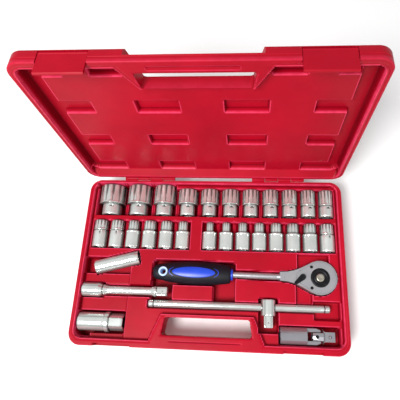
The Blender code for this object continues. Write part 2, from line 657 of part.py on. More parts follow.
def build_universal_joint():
    z = resting_axis(JOINT_RADIUS)
    centre_x = INNER_HALF - JOINT_FROM_WALL - JOINT_CENTRE
    centre = (centre_x, JOINT_Y, z)
    back = JOINT_LENGTH - JOINT_CENTRE
    female = turned([(-back, JOINT_RADIUS - SOCKET_CHAMFER), (SOCKET_CHAMFER - back, JOINT_RADIUS),
                     (0, JOINT_RADIUS), (JOINT_EAR_END, JOINT_RADIUS - JOINT_EAR_TAPER)])
    socket_yoke = piece(facing(female, (1, 0, 0)), "joint_socket_yoke", CHROME, centre)
    square_start = JOINT_CENTRE - JOINT_SQUARE
    stations = [
        (circle(JOINT_RADIUS - JOINT_EAR_TAPER), -JOINT_EAR_END),
        (circle(JOINT_RADIUS), 0),
        (circle(JOINT_RADIUS - SOCKET_CHAMFER), square_start - JOINT_TAPER),
        (polygon_ring(DRIVE, 4), square_start),
        (polygon_ring(DRIVE, 4), JOINT_CENTRE),
    ]
    drive_yoke = piece(facing(layers(stations), (1, 0, 0)), "joint_drive_yoke", CHROME, centre)
    cuts = tool_group("joint_female")
    square = prism(polygon_ring(DRIVE + GAP, 4), -back - OVERSHOOT, SQUARE_DEPTH - back)
    helper(facing(square, (1, 0, 0)), "joint_square_cut", cuts, centre)
    apply_group(socket_yoke, cuts)
    # The socket yoke keeps its ears at +-Y, and the drive yoke at +-Z.
    swing = JOINT_RADIUS + JOINT_SWING
    gap_1 = prism(rounded(box_outline(-swing, 2 * swing, -2 * swing, 2 * swing)), -JOINT_EAR, JOINT_EAR)
    group_1 = tool_group("socket_yoke_gap")
    bmesh.ops.rotate(gap_1, cent=(0, 0, 0), matrix=Matrix.Rotation(math.pi / 2, 3, "X"), verts=gap_1.verts)
    helper(gap_1, "socket_yoke_gap_cut", group_1, centre)
    apply_group(socket_yoke, group_1)
    gap_2 = prism(rounded(box_outline(-2 * swing, JOINT_BLOCK + JOINT_FORK_ROOM, -2 * swing, 2 * swing)),
                  -JOINT_EAR, JOINT_EAR)
    group_2 = tool_group("drive_yoke_gap")
    helper(gap_2, "drive_yoke_gap_cut", group_2, centre)
    apply_group(drive_yoke, group_2)
    # Ears narrower than the gap between the other yoke's ears.
    sides = (("socket_ear_sides", socket_yoke, 0, -swing, 2 * swing),
             ("drive_ear_sides", drive_yoke, math.pi / 2, -2 * swing, JOINT_SHOULDER))
    for name, yoke, turn, start, end in sides:
        group = tool_group(name)
        for sign in (-1, 1):
            outline = box_outline(start, end, -2 * swing, 2 * swing)
            low, high = sorted((sign * (JOINT_EAR - JOINT_EAR_RELIEF), sign * 2 * swing))
            slab = prism(rounded(outline), low, high)
            bmesh.ops.rotate(slab, cent=(0, 0, 0), matrix=Matrix.Rotation(turn, 3, "X"), verts=slab.verts)
            helper(slab, f"{name}_{'low' if sign < 0 else 'high'}", group, centre)
        apply_group(yoke, group)
    half = JOINT_BLOCK
    cube = prism(rounded(box_outline(-half, half, -half, half)), -half, half)
    block = piece(cube, "joint_cross", STEEL, centre)
    studs = tool_group("joint_studs")
    reach = JOINT_RADIUS - JOINT_PIN_SUNK
    stud = turned([(-reach, JOINT_PIN), (reach, JOINT_PIN)], 12)
    helper(stud, "joint_stud", studs, centre)
    apply_group(block, studs, "UNION")
    holes = tool_group("joint_pin_hole")
    hole = turned([(-2 * JOINT_RADIUS, JOINT_PIN + GAP), (2 * JOINT_RADIUS, JOINT_PIN + GAP)], 12)
    helper(facing(hole, (0, 1, 0)), "joint_pin_drill", holes, centre)
    apply_group(block, holes)
    apply_group(socket_yoke, holes)
    upright = tool_group("joint_stud_hole")
    hole = turned([(-2 * JOINT_RADIUS, JOINT_PIN + GAP), (2 * JOINT_RADIUS, JOINT_PIN + GAP)], 12)
    helper(hole, "joint_stud_drill", upright, centre)
    apply_group(drive_yoke, upright)
    pin = turned([(-reach, JOINT_PIN), (reach, JOINT_PIN)], 12)
    piece(facing(pin, (0, 1, 0)), "joint_pin", STEEL, centre)
    tip = (centre_x + JOINT_CENTRE - BALL_FROM_TIP, JOINT_Y, z)
    apply_group(drive_yoke, spring_ball("joint_ball", tip, DRIVE / 2))


# ---- Ratchet -------------------------------------------------------------------------------

def head_outline(grow=0.0):
    # A round head that runs into the neck along a curve on each side.
    radius = HEAD_RADIUS + grow
    last = math.radians(118)
    arc = [(radius * math.cos(t), radius * math.sin(t))
           for t in (last * (i / 7 - 1) for i in range(15))]
    end = Vector((arc[-1][0], arc[-1][1], 0))
    lean = Vector((-math.sin(last), math.cos(last), 0))
    neck = Vector((NECK_X, NECK_HALF + grow, 0))
    side = interpolate_bezier(end, end + lean * HEAD_FLOW, neck + Vector((NECK_FLOW, 0, 0)), neck, 6)[1:]
    return arc + [(p.x, p.y) for p in side] + [(p.x, -p.y) for p in reversed(side)]


def two_circle_outline(radius, tail, distance, grow=0.0, steps=6):
    # The outline round a circle at the origin and a smaller one at -distance along X.
    lean = math.pi - math.acos((radius - tail) / distance)
    arc = [lean * (2 * i / (2 * steps) - 1) for i in range(2 * steps + 1)]
    big = [((radius + grow) * math.cos(t), (radius + grow) * math.sin(t)) for t in arc]
    rest = [lean + (2 * math.pi - 2 * lean) * i / steps for i in range(steps + 1)]
    small = [((tail + grow) * math.cos(t) - distance, (tail + grow) * math.sin(t)) for t in rest]
    return big + small


def grip_half(share):
    # Half width of the grip along its length: rounded at the far end, slim at the shaft.
    bulge = math.sin(math.pi * min(max(share * GRIP_BULGE_END, 0), 1)) ** GRIP_BULGE_POWER
    swell = GRIP_SLIM + (1 - GRIP_SLIM) * bulge
    past = max(0.0, (share - GRIP_TAIL) / (1 - GRIP_TAIL))
    tail = math.sqrt(max(0.0, 1 - past ** GRIP_TAIL_POWER))
    return GRIP_HALF * swell * (1 + tail) / 2


def grip_solid(sides=20):
    shares = (0.0, 0.03, 0.12, 0.28, 0.46, 0.64, 0.82, 0.93, 0.98, 1.0)
    stations = []
    for share in shares:
        half = grip_half(share) * (GRIP_END_SHARE if share in (0.0, 1.0) else 1)
        height = half * GRIP_HALF_HEIGHT / GRIP_HALF
        ring = [(height * math.cos(t), half * math.sin(t))
                for t in (2 * math.pi * i / sides for i in range(sides))]
        stations.append((ring, share * GRIP_LENGTH))
    return stations


def build_grip(frame):
    rings = [[(GRIP_START - x, side, up) for up, side in ring] for ring, x in grip_solid()]
    grip = piece(loft(rings), "ratchet_grip", BLACK_GRIP, parent=frame)
    cuts = tool_group("grip_cuts")
    tang = turned([(-OVERSHOOT, SHAFT_RADIUS + GAP), (TANG_LENGTH + GAP, SHAFT_RADIUS + GAP)], 12)
    helper(facing(tang, (-1, 0, 0)), "grip_bore", cuts, (GRIP_START, 0, 0), frame)
    eyelet_x = GRIP_START - GRIP_LENGTH + EYELET_FROM_END
    hole = turned([(-GRIP_HALF_HEIGHT - OVERSHOOT, EYELET_RADIUS + GAP),
                   (GRIP_HALF_HEIGHT + OVERSHOOT, EYELET_RADIUS + GAP)], 20)
    helper(hole, "grip_hang_hole", cuts, (eyelet_x, 0, 0), frame)
    inlay_x = GRIP_START - INLAY_FROM_START - INLAY_LENGTH / 2
    floor = GRIP_HALF_HEIGHT - INLAY_DEPTH
    oval = [(x * INLAY_LENGTH / 2, y * INLAY_HALF) for x, y in circle(1)]
    bed = [(x * (1 + 2 * GAP / INLAY_LENGTH), y * (1 + GAP / INLAY_HALF)) for x, y in oval]
    helper(prism(bed, floor, GRIP_HALF_HEIGHT + OVERSHOOT), "grip_inlay_bed", cuts, (inlay_x, 0, 0), frame)
    apply_group(grip, cuts)
    crown = [(x * INLAY_CROWN[0], y * INLAY_CROWN[1]) for x, y in oval]
    pad = layers([(oval, floor + GAP), (oval, GRIP_HALF_HEIGHT - INLAY_EDGE),
                  (crown, GRIP_HALF_HEIGHT - INLAY_SUNK)])
    piece(pad, "grip_inlay", BLUE, (inlay_x, 0, 0), frame)
    half = GRIP_HALF_HEIGHT * EYELET_CUT
    ring = turned([(-half, EYELET_RADIUS), (half, EYELET_RADIUS), (half, EYELET_HOLE), (-half, EYELET_HOLE)],
                  20, closed=True)
    piece(ring, "hang_eyelet", EYELET_BLUE, (eyelet_x, 0, 0), frame)
    bore = SHAFT_RADIUS + GAP
    band = turned([(0, GRIP_RING_RADIUS), (GRIP_RING_LENGTH, GRIP_RING_RADIUS), (GRIP_RING_LENGTH, bore),
                   (0, bore)], 20, closed=True)
    piece(facing(band, (1, 0, 0)), "grip_ring", BLUE, (GRIP_START + GAP, 0, 0), frame)


def build_head(frame):
    floor = -GEAR_HALF - RUNNING_GAP
    seat = HEAD_TOP - COVER_THICKNESS - GAP
    body = piece(prism(head_outline(), HEAD_BOTTOM, HEAD_TOP), "ratchet_body", SATIN, parent=frame)
    joined = tool_group("ratchet_shank")
    shank_end = GRIP_START - TANG_LENGTH
    shank = turned([(0, SHAFT_RADIUS), (NECK_X - shank_end - SHANK_FLARE[0], SHAFT_RADIUS),
                    (NECK_X - shank_end + SHANK_FLARE[1], NECK_HALF),
                    (NECK_X - shank_end + SHANK_FLARE[2], NECK_HALF)], 16)
    helper(facing(shank, (1, 0, 0)), "ratchet_shank_bar", joined, (shank_end, 0, 0), frame)
    apply_group(body, joined, "UNION")
    cuts = tool_group("ratchet_cavities")
    outline = two_circle_outline(COVER_RADIUS, COVER_TAIL, -LEVER_X, GAP)
    helper(prism(outline, seat, HEAD_TOP + OVERSHOOT), "cover_seat", cuts, parent=frame)
    bore = GEAR_RADIUS + RUNNING_GAP
    helper(turned([(floor, bore), (HEAD_TOP + OVERSHOOT, bore)], 36), "gear_bore", cuts, parent=frame)
    shank_bore = DRIVE_SHANK + RUNNING_GAP
    helper(turned([(HEAD_BOTTOM - OVERSHOOT, shank_bore), (0, shank_bore)]), "shank_bore", cuts, parent=frame)
    room = box_outline(LEVER_X - PAWL_ROOM[0], PAWL_ROOM[1], -PAWL_ROOM[2], PAWL_ROOM[2], POCKET_CORNER)
    helper(prism(rounded(room), floor, HEAD_TOP + OVERSHOOT), "pawl_room", cuts, parent=frame)
    for side, y in (("a", SCREW_Y), ("b", -SCREW_Y)):
        drill = turned([(SCREW_TIP / 2, SCREW_SHANK + GAP), (HEAD_TOP + OVERSHOOT, SCREW_SHANK + GAP)], 12)
        helper(drill, f"screw_drill_{side}", cuts, (SCREW_X, y, 0), frame)
    apply_group(body, cuts)


def build_cover(frame):
    low = HEAD_TOP - COVER_THICKNESS
    cover = piece(prism(two_circle_outline(COVER_RADIUS, COVER_TAIL, -LEVER_X), low, HEAD_TOP),
                  "ratchet_cover", SATIN, parent=frame)
    cuts = tool_group("cover_holes")
    through = (low - OVERSHOOT, HEAD_TOP + OVERSHOOT)
    hole = turned([(z, GEAR_RING + RUNNING_GAP) for z in through], 36)
    helper(hole, "cover_gear_hole", cuts, parent=frame)
    hole = turned([(z, LEVER_SHAFT + RUNNING_GAP) for z in through], 16)
    helper(hole, "cover_lever_hole", cuts, (LEVER_X, 0, 0), frame)
    head_low = low + SCREW_SEAT
    for side, y in (("a", SCREW_Y), ("b", -SCREW_Y)):
        stepped = turned([(through[0], SCREW_SHANK + GAP), (head_low, SCREW_SHANK + GAP),
                          (head_low, SCREW_HEAD + GAP), (through[1], SCREW_HEAD + GAP)], 12)
        helper(stepped, f"cover_screw_hole_{side}", cuts, (SCREW_X, y, 0), frame)
        screw = turned([(SCREW_TIP, SCREW_SHANK), (head_low + GAP, SCREW_SHANK), (head_low + GAP, SCREW_HEAD),
                        (HEAD_TOP + GAP, SCREW_HEAD)], 12)
        piece(screw, f"cover_screw_{side}", STEEL, (SCREW_X, y, 0), frame)
    apply_group(cover, cuts)


def build_gear(frame):
    # Toothed band, ring that shows in the cover, shank and square, with a blind bore for the button.
    teeth = []
    for i in range(2 * GEAR_TEETH):
        t = math.pi * i / GEAR_TEETH
        radius = GEAR_RADIUS - GEAR_TOOTH * (i % 2)
        teeth.append((radius * math.cos(t), radius * math.sin(t)))
    sides = 2 * GEAR_TEETH
    bottom = HEAD_BOTTOM - SQUARE_STEP
    top = HEAD_TOP + GAP
    tooth_top = HEAD_TOP - COVER_THICKNESS - 2 * GAP
    bore_floor = top - BUTTON_HEIGHT - BUTTON_TRAVEL - GAP
    stations = [
        (polygon_ring(DRIVE, 4, sides), bottom - RATCHET_SQUARE),
        (polygon_ring(DRIVE, 4, sides), bottom),
        (circle(DRIVE_SHANK, sides), bottom),
        (circle(DRIVE_SHANK, sides), -GEAR_HALF),
        (teeth, -GEAR_HALF),
        (teeth, tooth_top),
        (circle(GEAR_RING - GEAR_TOOTH / 2, sides), tooth_top),
        (circle(GEAR_RING - GEAR_TOOTH / 2, sides), top),
        (circle(BUTTON_RADIUS + RUNNING_GAP, sides), top),
        (circle(BUTTON_RADIUS + RUNNING_GAP, sides), bore_floor),
    ]
    piece(layers(stations), "drive_gear", STEEL, parent=frame)
    low = top - BUTTON_HEIGHT
    crown = (top + BUTTON_CROWN[0], BUTTON_RADIUS - BUTTON_CROWN[1])
    button = turned([(low, BUTTON_RADIUS), (top, BUTTON_RADIUS), crown])
    piece(button, "release_button", SATIN, parent=frame)


def build_lever(frame):
    low = HEAD_TOP + GAP
    high = low + LEVER_THICKNESS
    tip = LEVER_RADIUS * LEVER_TIP
    plate = two_circle_outline(LEVER_RADIUS, tip, LEVER_LENGTH - tip, steps=5)
    turn = Matrix.Rotation(LEVER_ANGLE - math.pi, 2)
    outline = [tuple(turn @ Vector(point)) for point in plate]
    lever = piece(prism(outline, low, high), "reverse_lever", STEEL, (LEVER_X, 0, 0), frame)
    joined = tool_group("lever_shaft")
    shaft = turned([(GAP - GEAR_HALF, LEVER_SHAFT), (low + LEVER_THICKNESS / 2, LEVER_SHAFT)], 16)
    helper(shaft, "lever_shaft_bar", joined, (LEVER_X, 0, 0), frame)
    apply_group(lever, joined, "UNION")
    inner = GEAR_RADIUS + PAWL_CLEARANCE
    arc = [math.pi + PAWL_SPREAD * (1 - 2 * i / 8) for i in range(9)]
    front = [(inner * math.cos(t) - PAWL_X, inner * math.sin(t)) for t in arc]
    back = [(PAWL_BACK - PAWL_X, PAWL_BACK_HALF), (PAWL_BACK - PAWL_X, -PAWL_BACK_HALF)]
    pawl = prism(front + back, GAP - GEAR_HALF, HEAD_TOP - COVER_THICKNESS - 3 * GAP)
    piece(pawl, "pawl", STEEL, (PAWL_X, 0, 0), frame)


def build_ratchet():
    frame = frame_empty("ratchet_frame", (RATCHET_X, RATCHET_Y, RATCHET_Z), (0, 0, RATCHET_TURN))
    build_head(frame)
    build_cover(frame)
    build_gear(frame)
    build_lever(frame)
    build_grip(frame)
    return frame


# ---- Case ----------------------------------------------------------------------------------

def case_outline(shrink=0.0, steps=6):
    return rounded(box_outline(-HALF_LENGTH, HALF_LENGTH, -HALF_WIDTH, HALF_WIDTH, CASE_CORNER),
                   -shrink, steps)


def recess_corners(back, block_back, half_back, half_front):
    # Inside of the rim, with a notch at the front where the handle block stands up.
    r = RECESS_CORNER
    edge = block_back - HALF_WIDTH
    return [
        (-INNER_HALF, INNER_FRONT, r), (-half_front, INNER_FRONT, 0), (-half_back, edge, 0),
        (half_back, edge, 0), (half_front, INNER_FRONT, 0), (INNER_HALF, INNER_FRONT, r),
        (INNER_HALF, back, r), (-INNER_HALF, back, r),
    ]


def lid_undercut_corners():
    # The step outside the lid's handle, kept inside the block that stands up inside it.
    front = -HALF_WIDTH - OVERSHOOT
    back = WINDOW_BACK - WALL / 2 - HALF_WIDTH
    narrow = WINDOW_HALF_BACK
    return [(-HANDLE_HALF, front, 0), (HANDLE_HALF, front, 0), (narrow, back, 0), (-narrow, back, 0)]


def window_corners():
    back = WINDOW_BACK - HALF_WIDTH
    front = WINDOW_FRONT - HALF_WIDTH
    return [(-WINDOW_HALF_FRONT, front, WINDOW_CORNER), (WINDOW_HALF_FRONT, front, WINDOW_CORNER),
            (WINDOW_HALF_BACK, back, WINDOW_CORNER), (-WINDOW_HALF_BACK, back, WINDOW_CORNER)]


def trough(x, y0, y1, radius, z, grow, steps=6):
    # A pocket with a round bottom along Y, open at the top.
    if grow:
        wide = radius + grow
        outline = box_outline(x - wide, x + wide, y0 - grow, y1 + grow)
        return prism(rounded(outline), z - radius - WALL, BASE_HEIGHT + OVERSHOOT)
    around = [math.pi * (1 + i / steps) for i in range(steps + 1)]
    section = [(x + radius * math.cos(t), z + radius * math.sin(t)) for t in around]
    section += [(x + radius, BASE_HEIGHT + OVERSHOOT), (x - radius, BASE_HEIGHT + OVERSHOOT)]
    return loft([[(px, y, pz) for px, pz in section] for y in (y0, y1)])


def row_ridges():
    # The hollow over the low ridge between each two neighbouring sockets, as name, corners and floor.
    found = []
    sockets = socket_list()
    for first, second in zip(sockets, sockets[1:]):
        between = second[4] - first[4] - widest(first[1]) - widest(second[1])
        if first[5] != second[5] or not 0 < between < RIDGE_WIDTH:
            continue
        floor = min(resting_axis(widest(tool[1])) for tool in (first, second)) - RIDGE_DROP
        end = first[5] + min(first[2], second[2]) + END_GAP
        corners = box_outline(first[4], second[4], first[5] - END_GAP, end)
        found.append((f"{first[0]}_ridge", corners, floor))
    return found


def finger_hollows():
    # Hollows beside the tools, as name, corners and floor.
    left = LABEL_COLUMN - INNER_HALF
    grip_floor = RATCHET_Z - GRIP_HALF_HEIGHT - POCKET_GAP
    grip_left = RATCHET_X + GRIP_START - GRIP_LENGTH - END_GAP
    grip_right = RATCHET_X + GRIP_START + GRIP_RING_LENGTH + FINGER_END
    bar_back = TEE_Y + TEE_RADIUS
    upper = LAND_Z - HEAD_ROOM_DROP
    low, high = SMALL_PLUG_ROOM
    room_length, room_depth = LARGE_PLUG_ROOM
    plug_front = LARGE_PLUG_Y - LARGE_PLUG_COLLAR - POCKET_GAP
    tee_left, tee_right, tee_front, tee_back = TEE_END_ROOM
    return [
        ("label_land", box_outline(-INNER_HALF, left, INNER_FRONT, RATCHET_Y + high, POCKET_CORNER),
         LAND_Z - LABEL_DROP),
        ("small_plug_room", box_outline(-INNER_HALF, left, RATCHET_Y - low, RATCHET_Y + high, POCKET_CORNER),
         resting_axis(SMALL_PLUG_RADIUS) - SMALL_PLUG_RADIUS - POCKET_GAP),
        ("large_plug_room", box_outline(-INNER_HALF, room_length - INNER_HALF, plug_front - room_depth,
                                        LARGE_PLUG_Y, POCKET_CORNER),
         resting_axis(LARGE_PLUG_COLLAR) - LARGE_PLUG_COLLAR - POCKET_GAP),
        ("finger_left", box_outline(grip_left, grip_left + FINGER_WIDTH, bar_back, RATCHET_Y, POCKET_CORNER),
         grip_floor),
        ("finger_right", box_outline(grip_right - FINGER_WIDTH, grip_right, bar_back, RATCHET_Y,
                                     POCKET_CORNER),
         grip_floor),
        ("head_room", box_outline(RATCHET_X - HEAD_ROOM[0], RATCHET_X + HEAD_ROOM[1], RATCHET_Y,
                                  RATCHET_Y + HEAD_ROOM[2], POCKET_CORNER), upper),
        ("head_tee_room", box_outline(RATCHET_X - HEAD_TEE_ROOM[0], RATCHET_X - HEAD_TEE_ROOM[1], bar_back,
                                      RATCHET_Y, POCKET_CORNER), upper),
        ("tee_end_room", box_outline(TEE_X - tee_left, TEE_X + tee_right, TEE_Y - tee_front,
                                     TEE_Y + tee_back, POCKET_CORNER), RATCHET_Z - TEE_RADIUS - POCKET_GAP),
    ]


def tool_pockets():
    # Flat-bottomed pockets as name, corner points and floor, in the case's frame.
    low = resting_axis
    tee_head_x = TEE_X - TEE_HEAD_FROM_END
    tee_half = TEE_HEAD_RADIUS + POCKET_GAP + TEE_SLIDE
    tee_front = TEE_Y - TEE_HEAD_FRONT - SQUARE_DEPTH - SOCKET_CHAMFER - END_GAP - TEE_TIP_ROOM
    bar_half = TEE_RADIUS + POCKET_GAP
    ext_half = EXTENSION_RADIUS + POCKET_GAP
    plug_half = LARGE_PLUG_COLLAR + POCKET_GAP
    joint_half = JOINT_RADIUS + POCKET_GAP
    joint_left = INNER_HALF - JOINT_FROM_WALL - JOINT_LENGTH - END_GAP
    joint_right = INNER_HALF - JOINT_FROM_WALL + END_GAP + JOINT_END_ROOM
    slim_start = EXTENSION_SOCKET + EXTENSION_TAPER - INNER_HALF
    return [
        ("tee_bar", box_outline(TEE_X - TEE_LENGTH - END_GAP, TEE_X + END_GAP, TEE_Y - bar_half,
                                TEE_Y + bar_half, POCKET_CORNER), RATCHET_Z - bar_half),
        ("tee_head", box_outline(tee_head_x - tee_half, tee_head_x + tee_half, tee_front,
                                 TEE_Y + TEE_HEAD_BACK + END_GAP, POCKET_CORNER),
         RATCHET_Z - TEE_HEAD_RADIUS - POCKET_GAP),
        ("extension_wide", box_outline(-INNER_HALF, slim_start, EXTENSION_Y - ext_half,
                                       EXTENSION_Y + ext_half, POCKET_CORNER),
         low(EXTENSION_RADIUS) - ext_half),
        ("extension_slim", box_outline(slim_start - ext_half, EXTENSION_LENGTH - INNER_HALF + 2 * END_GAP,
                                       EXTENSION_Y - EXTENSION_SLIM_HALF,
                                       EXTENSION_Y + EXTENSION_SLIM_HALF, POCKET_CORNER),
         low(EXTENSION_RADIUS) - EXTENSION_SLIM_HALF),
        ("large_plug", box_outline(-INNER_HALF, LARGE_PLUG_LENGTH - INNER_HALF + 2 * END_GAP,
                                   LARGE_PLUG_Y - plug_half, LARGE_PLUG_Y + plug_half, POCKET_CORNER),
         low(LARGE_PLUG_COLLAR) - plug_half),
        ("joint", box_outline(joint_left, joint_right, JOINT_Y - joint_half, JOINT_Y + joint_half,
                              POCKET_CORNER),
         low(JOINT_RADIUS) - joint_half),
    ]


def ratchet_pockets():
    # The same, in the ratchet's frame.
    half = GRIP_HALF + POCKET_GAP
    shaft = SHAFT_RADIUS + 2 * POCKET_GAP
    end = GRIP_START - GRIP_LENGTH - END_GAP
    ring_end = GRIP_START + GRIP_RING_LENGTH + FINGER_END
    return [
        ("head", [(x, y, 0) for x, y in head_outline(POCKET_GAP)], HEAD_BOTTOM - POCKET_GAP),
        ("drive", [(x, y, 0) for x, y in circle(DRIVE * CORNER_SHARE + POCKET_GAP, 16)],
         HEAD_BOTTOM - RATCHET_SQUARE - 2 * POCKET_GAP),
        ("shaft", box_outline(ring_end - END_GAP, NECK_X + OVERSHOOT, -shaft, shaft),
         -NECK_HALF - POCKET_GAP),
        ("grip", box_outline(end, ring_end, -half, half, GRIP_POCKET_CORNER), -GRIP_HALF_HEIGHT - POCKET_GAP),
    ]


def fill_pockets(group, grow, ratchet_frame):
    # Every pocket of the tray as a cutter. Grown pockets shape the hollow between the two skins.
    tag = "solid" if grow else "pocket"
    drop = WALL if grow else 0.0
    for name, size, length, nose, x, y in socket_list():
        radius = widest(size)
        bm = trough(x, y - END_GAP, y + length + END_GAP, radius + POCKET_GAP, resting_axis(radius), grow)
        helper(bm, f"{name}_{tag}", group)
    for name, corners, floor in tool_pockets() + finger_hollows() + row_ridges():
        pocket = prism(rounded(corners, grow, 2), floor - drop, BASE_HEIGHT + OVERSHOOT)
        helper(pocket, f"{name}_{tag}", group)
    for name, corners, floor in ratchet_pockets():
        bm = prism(rounded(corners, grow, 2), floor - drop, BASE_HEIGHT - RATCHET_Z + OVERSHOOT)
        helper(bm, f"ratchet_{name}_{tag}", group, parent=ratchet_frame)
    half = SMALL_PLUG_RADIUS + POCKET_GAP
    corners = box_outline(-END_GAP, SMALL_PLUG_LENGTH + END_GAP, -half, half, POCKET_CORNER)
    floor = -SMALL_PLUG_RADIUS - POCKET_GAP - drop
    plug = helper(prism(rounded(corners, grow, 2), floor, SMALL_PLUG_RADIUS + OVERSHOOT),
                  f"small_plug_{tag}", group, small_plug_place())
    plug.rotation_euler.z = SMALL_PLUG_TURN


def front_recess(centre, low, high, grow):
    # The step in the front wall that a latch lies in.
    half = LATCH_WIDTH / 2 + GAP * 2 + grow
    outline = box_outline(centre - half, centre + half, -HALF_WIDTH - OVERSHOOT,
                          LATCH_RECESS - HALF_WIDTH + grow)
    return prism(rounded(outline), low - grow, high + grow)


def hinge_spans():
    # Knuckles as side, index and the middle of each along X.
    for side in (-1, 1):
        first = side * HINGE_CENTRE - KNUCKLE_LENGTH * (KNUCKLES - 1) / 2
        for i in range(KNUCKLES):
            yield side, i, first + i * KNUCKLE_LENGTH


def add_knuckles(shell, owner, frame, root_low, root_high):
    # Even knuckles are the base's and odd ones the lid's. Each leaves room for the other's.
    webs = tool_group(f"{owner}_knuckles")
    cuts = tool_group(f"{owner}_hinge_cuts")
    parity = 0 if owner == "base" else 1
    origin = Vector(frame.location) if frame else Vector((0, 0, 0))
    for side, i, x in hinge_spans():
        tag = f"{owner}_{'left' if side < 0 else 'right'}_{i}"
        place = Vector((x, HINGE_Y, HINGE_Z)) - origin
        if i % 2 == parity:
            half = (KNUCKLE_LENGTH - 2 * GAP) / 2
            barrel = turned([(-half, HINGE_RADIUS), (half, HINGE_RADIUS)], 16)
            helper(facing(barrel, (1, 0, 0)), f"{tag}_barrel", webs, place, frame)
            outline = box_outline(-half, half, -HINGE_RADIUS - WALL / 2, 0)
            web = prism(rounded(outline), root_low - HINGE_Z, root_high - HINGE_Z)
            helper(web, f"{tag}_web", webs, place, frame)
            continue
        relief = turned([(-KNUCKLE_LENGTH / 2, HINGE_RADIUS + RUNNING_GAP),
                         (KNUCKLE_LENGTH / 2, HINGE_RADIUS + RUNNING_GAP)], 16)
        helper(facing(relief, (1, 0, 0)), f"{tag}_relief", cuts, place, frame)
    for side in (-1, 1):
        half = KNUCKLE_LENGTH * KNUCKLES / 2 + GAP
        drill = turned([(-half, PIN_RADIUS + GAP), (half, PIN_RADIUS + GAP)], 12)
        tag = f"{owner}_pin_drill_{'left' if side < 0 else 'right'}"
        place = Vector((side * HINGE_CENTRE, HINGE_Y, HINGE_Z)) - origin
        helper(facing(drill, (1, 0, 0)), tag, cuts, place, frame)
    apply_group(shell, webs, "UNION")
    apply_group(shell, cuts)


def build_base(ratchet_frame):
    outer = layers([(case_outline(FOOT_CHAMFER), 0), (case_outline(), FOOT_CHAMFER),
                    (case_outline(), BASE_HEIGHT)])
    base = piece(outer, "base_shell", PLASTIC)
    corners = recess_corners(INNER_BACK, BLOCK_BACK, BLOCK_HALF_BACK, BLOCK_HALF_FRONT)
    under = box_outline(-HANDLE_HALF, HANDLE_HALF, -HALF_WIDTH - OVERSHOOT, BLOCK_BACK - HALF_WIDTH - WALL)
    latch_low = BASE_HEIGHT - LATCH_REACH - 2 * GAP
    skins = {"base_cuts": 0.0, "base_hollow_keep": SOLID_EDGE}
    for name, grow in skins.items():
        group = tool_group(name)
        drop = WALL if grow else 0.0
        helper(prism(rounded(corners, grow), LAND_Z - drop, BASE_HEIGHT + OVERSHOOT), f"{name}_recess", group)
        helper(prism(rounded(window_corners(), grow), -OVERSHOOT, BASE_HEIGHT + OVERSHOOT), f"{name}_window",
               group)
        helper(prism(rounded(under, grow), -OVERSHOOT, HANDLE_UNDERCUT + drop), f"{name}_undercut", group)
        for side in (-1, 1):
            bm = front_recess(side * LATCH_CENTRE, latch_low, BASE_HEIGHT + OVERSHOOT, grow)
            helper(bm, f"{name}_latch_{'left' if side < 0 else 'right'}", group)
        fill_pockets(group, grow, ratchet_frame)
    hollow_group = tool_group("base_hollow")
    space = prism(case_outline(WALL), WALL, BASE_HEIGHT - WALL)
    hollow = helper(space, "base_hollow_space", hollow_group)
    apply_group(hollow, bpy.data.collections["base_hollow_keep"])
    vent_group = tool_group("base_vent")
    vent = turned([(-OVERSHOOT, VENT_RADIUS), (WALL + GAP, VENT_RADIUS)], 12)
    helper(vent, "base_vent_drill", vent_group, (-HALF_LENGTH * VENT_PLACE, RATCHET_Y, 0))
    apply_group(base, hollow_group)
    apply_group(base, bpy.data.collections["base_cuts"])
    apply_group(base, vent_group)
    add_knuckles(base, "base", None, BASE_HEIGHT - KNUCKLE_ROOT, BASE_HEIGHT)


def lid_pockets():
    # Pockets pressed into the lid's panel, as x0, x1, y0, y1 in the closed case's frame.
    wide, high = LID_POCKET
    step_x, step_y = LID_POCKET_PITCH
    found = []
    for row in range(LID_POCKET_ROWS):
        y = HALF_WIDTH - LID_FIRST_POCKET - row * step_y
        for column in range(LID_POCKET_COLUMNS):
            x = (column - (LID_POCKET_COLUMNS - 1) / 2) * step_x
            found.append((x - wide / 2, x + wide / 2, y - high / 2, y + high / 2))
    low, top = LID_TOP_POCKETS
    inner, middle, outer = LID_TOP_SPANS
    spans = [(inner, middle), (outer, PANEL_HALF)]
    for x0, x1 in [(-high, -low) for low, high in spans] + spans:
        found.append((x0, x1, HALF_WIDTH - top, HALF_WIDTH - low))
    return found


def lid_solid(bm, name, group, frame):
    # A cutter given in the closed case's frame, carried by the lid.
    return helper(moved(bm, 0, -HINGE_Y, -HINGE_Z), name, group, parent=frame)


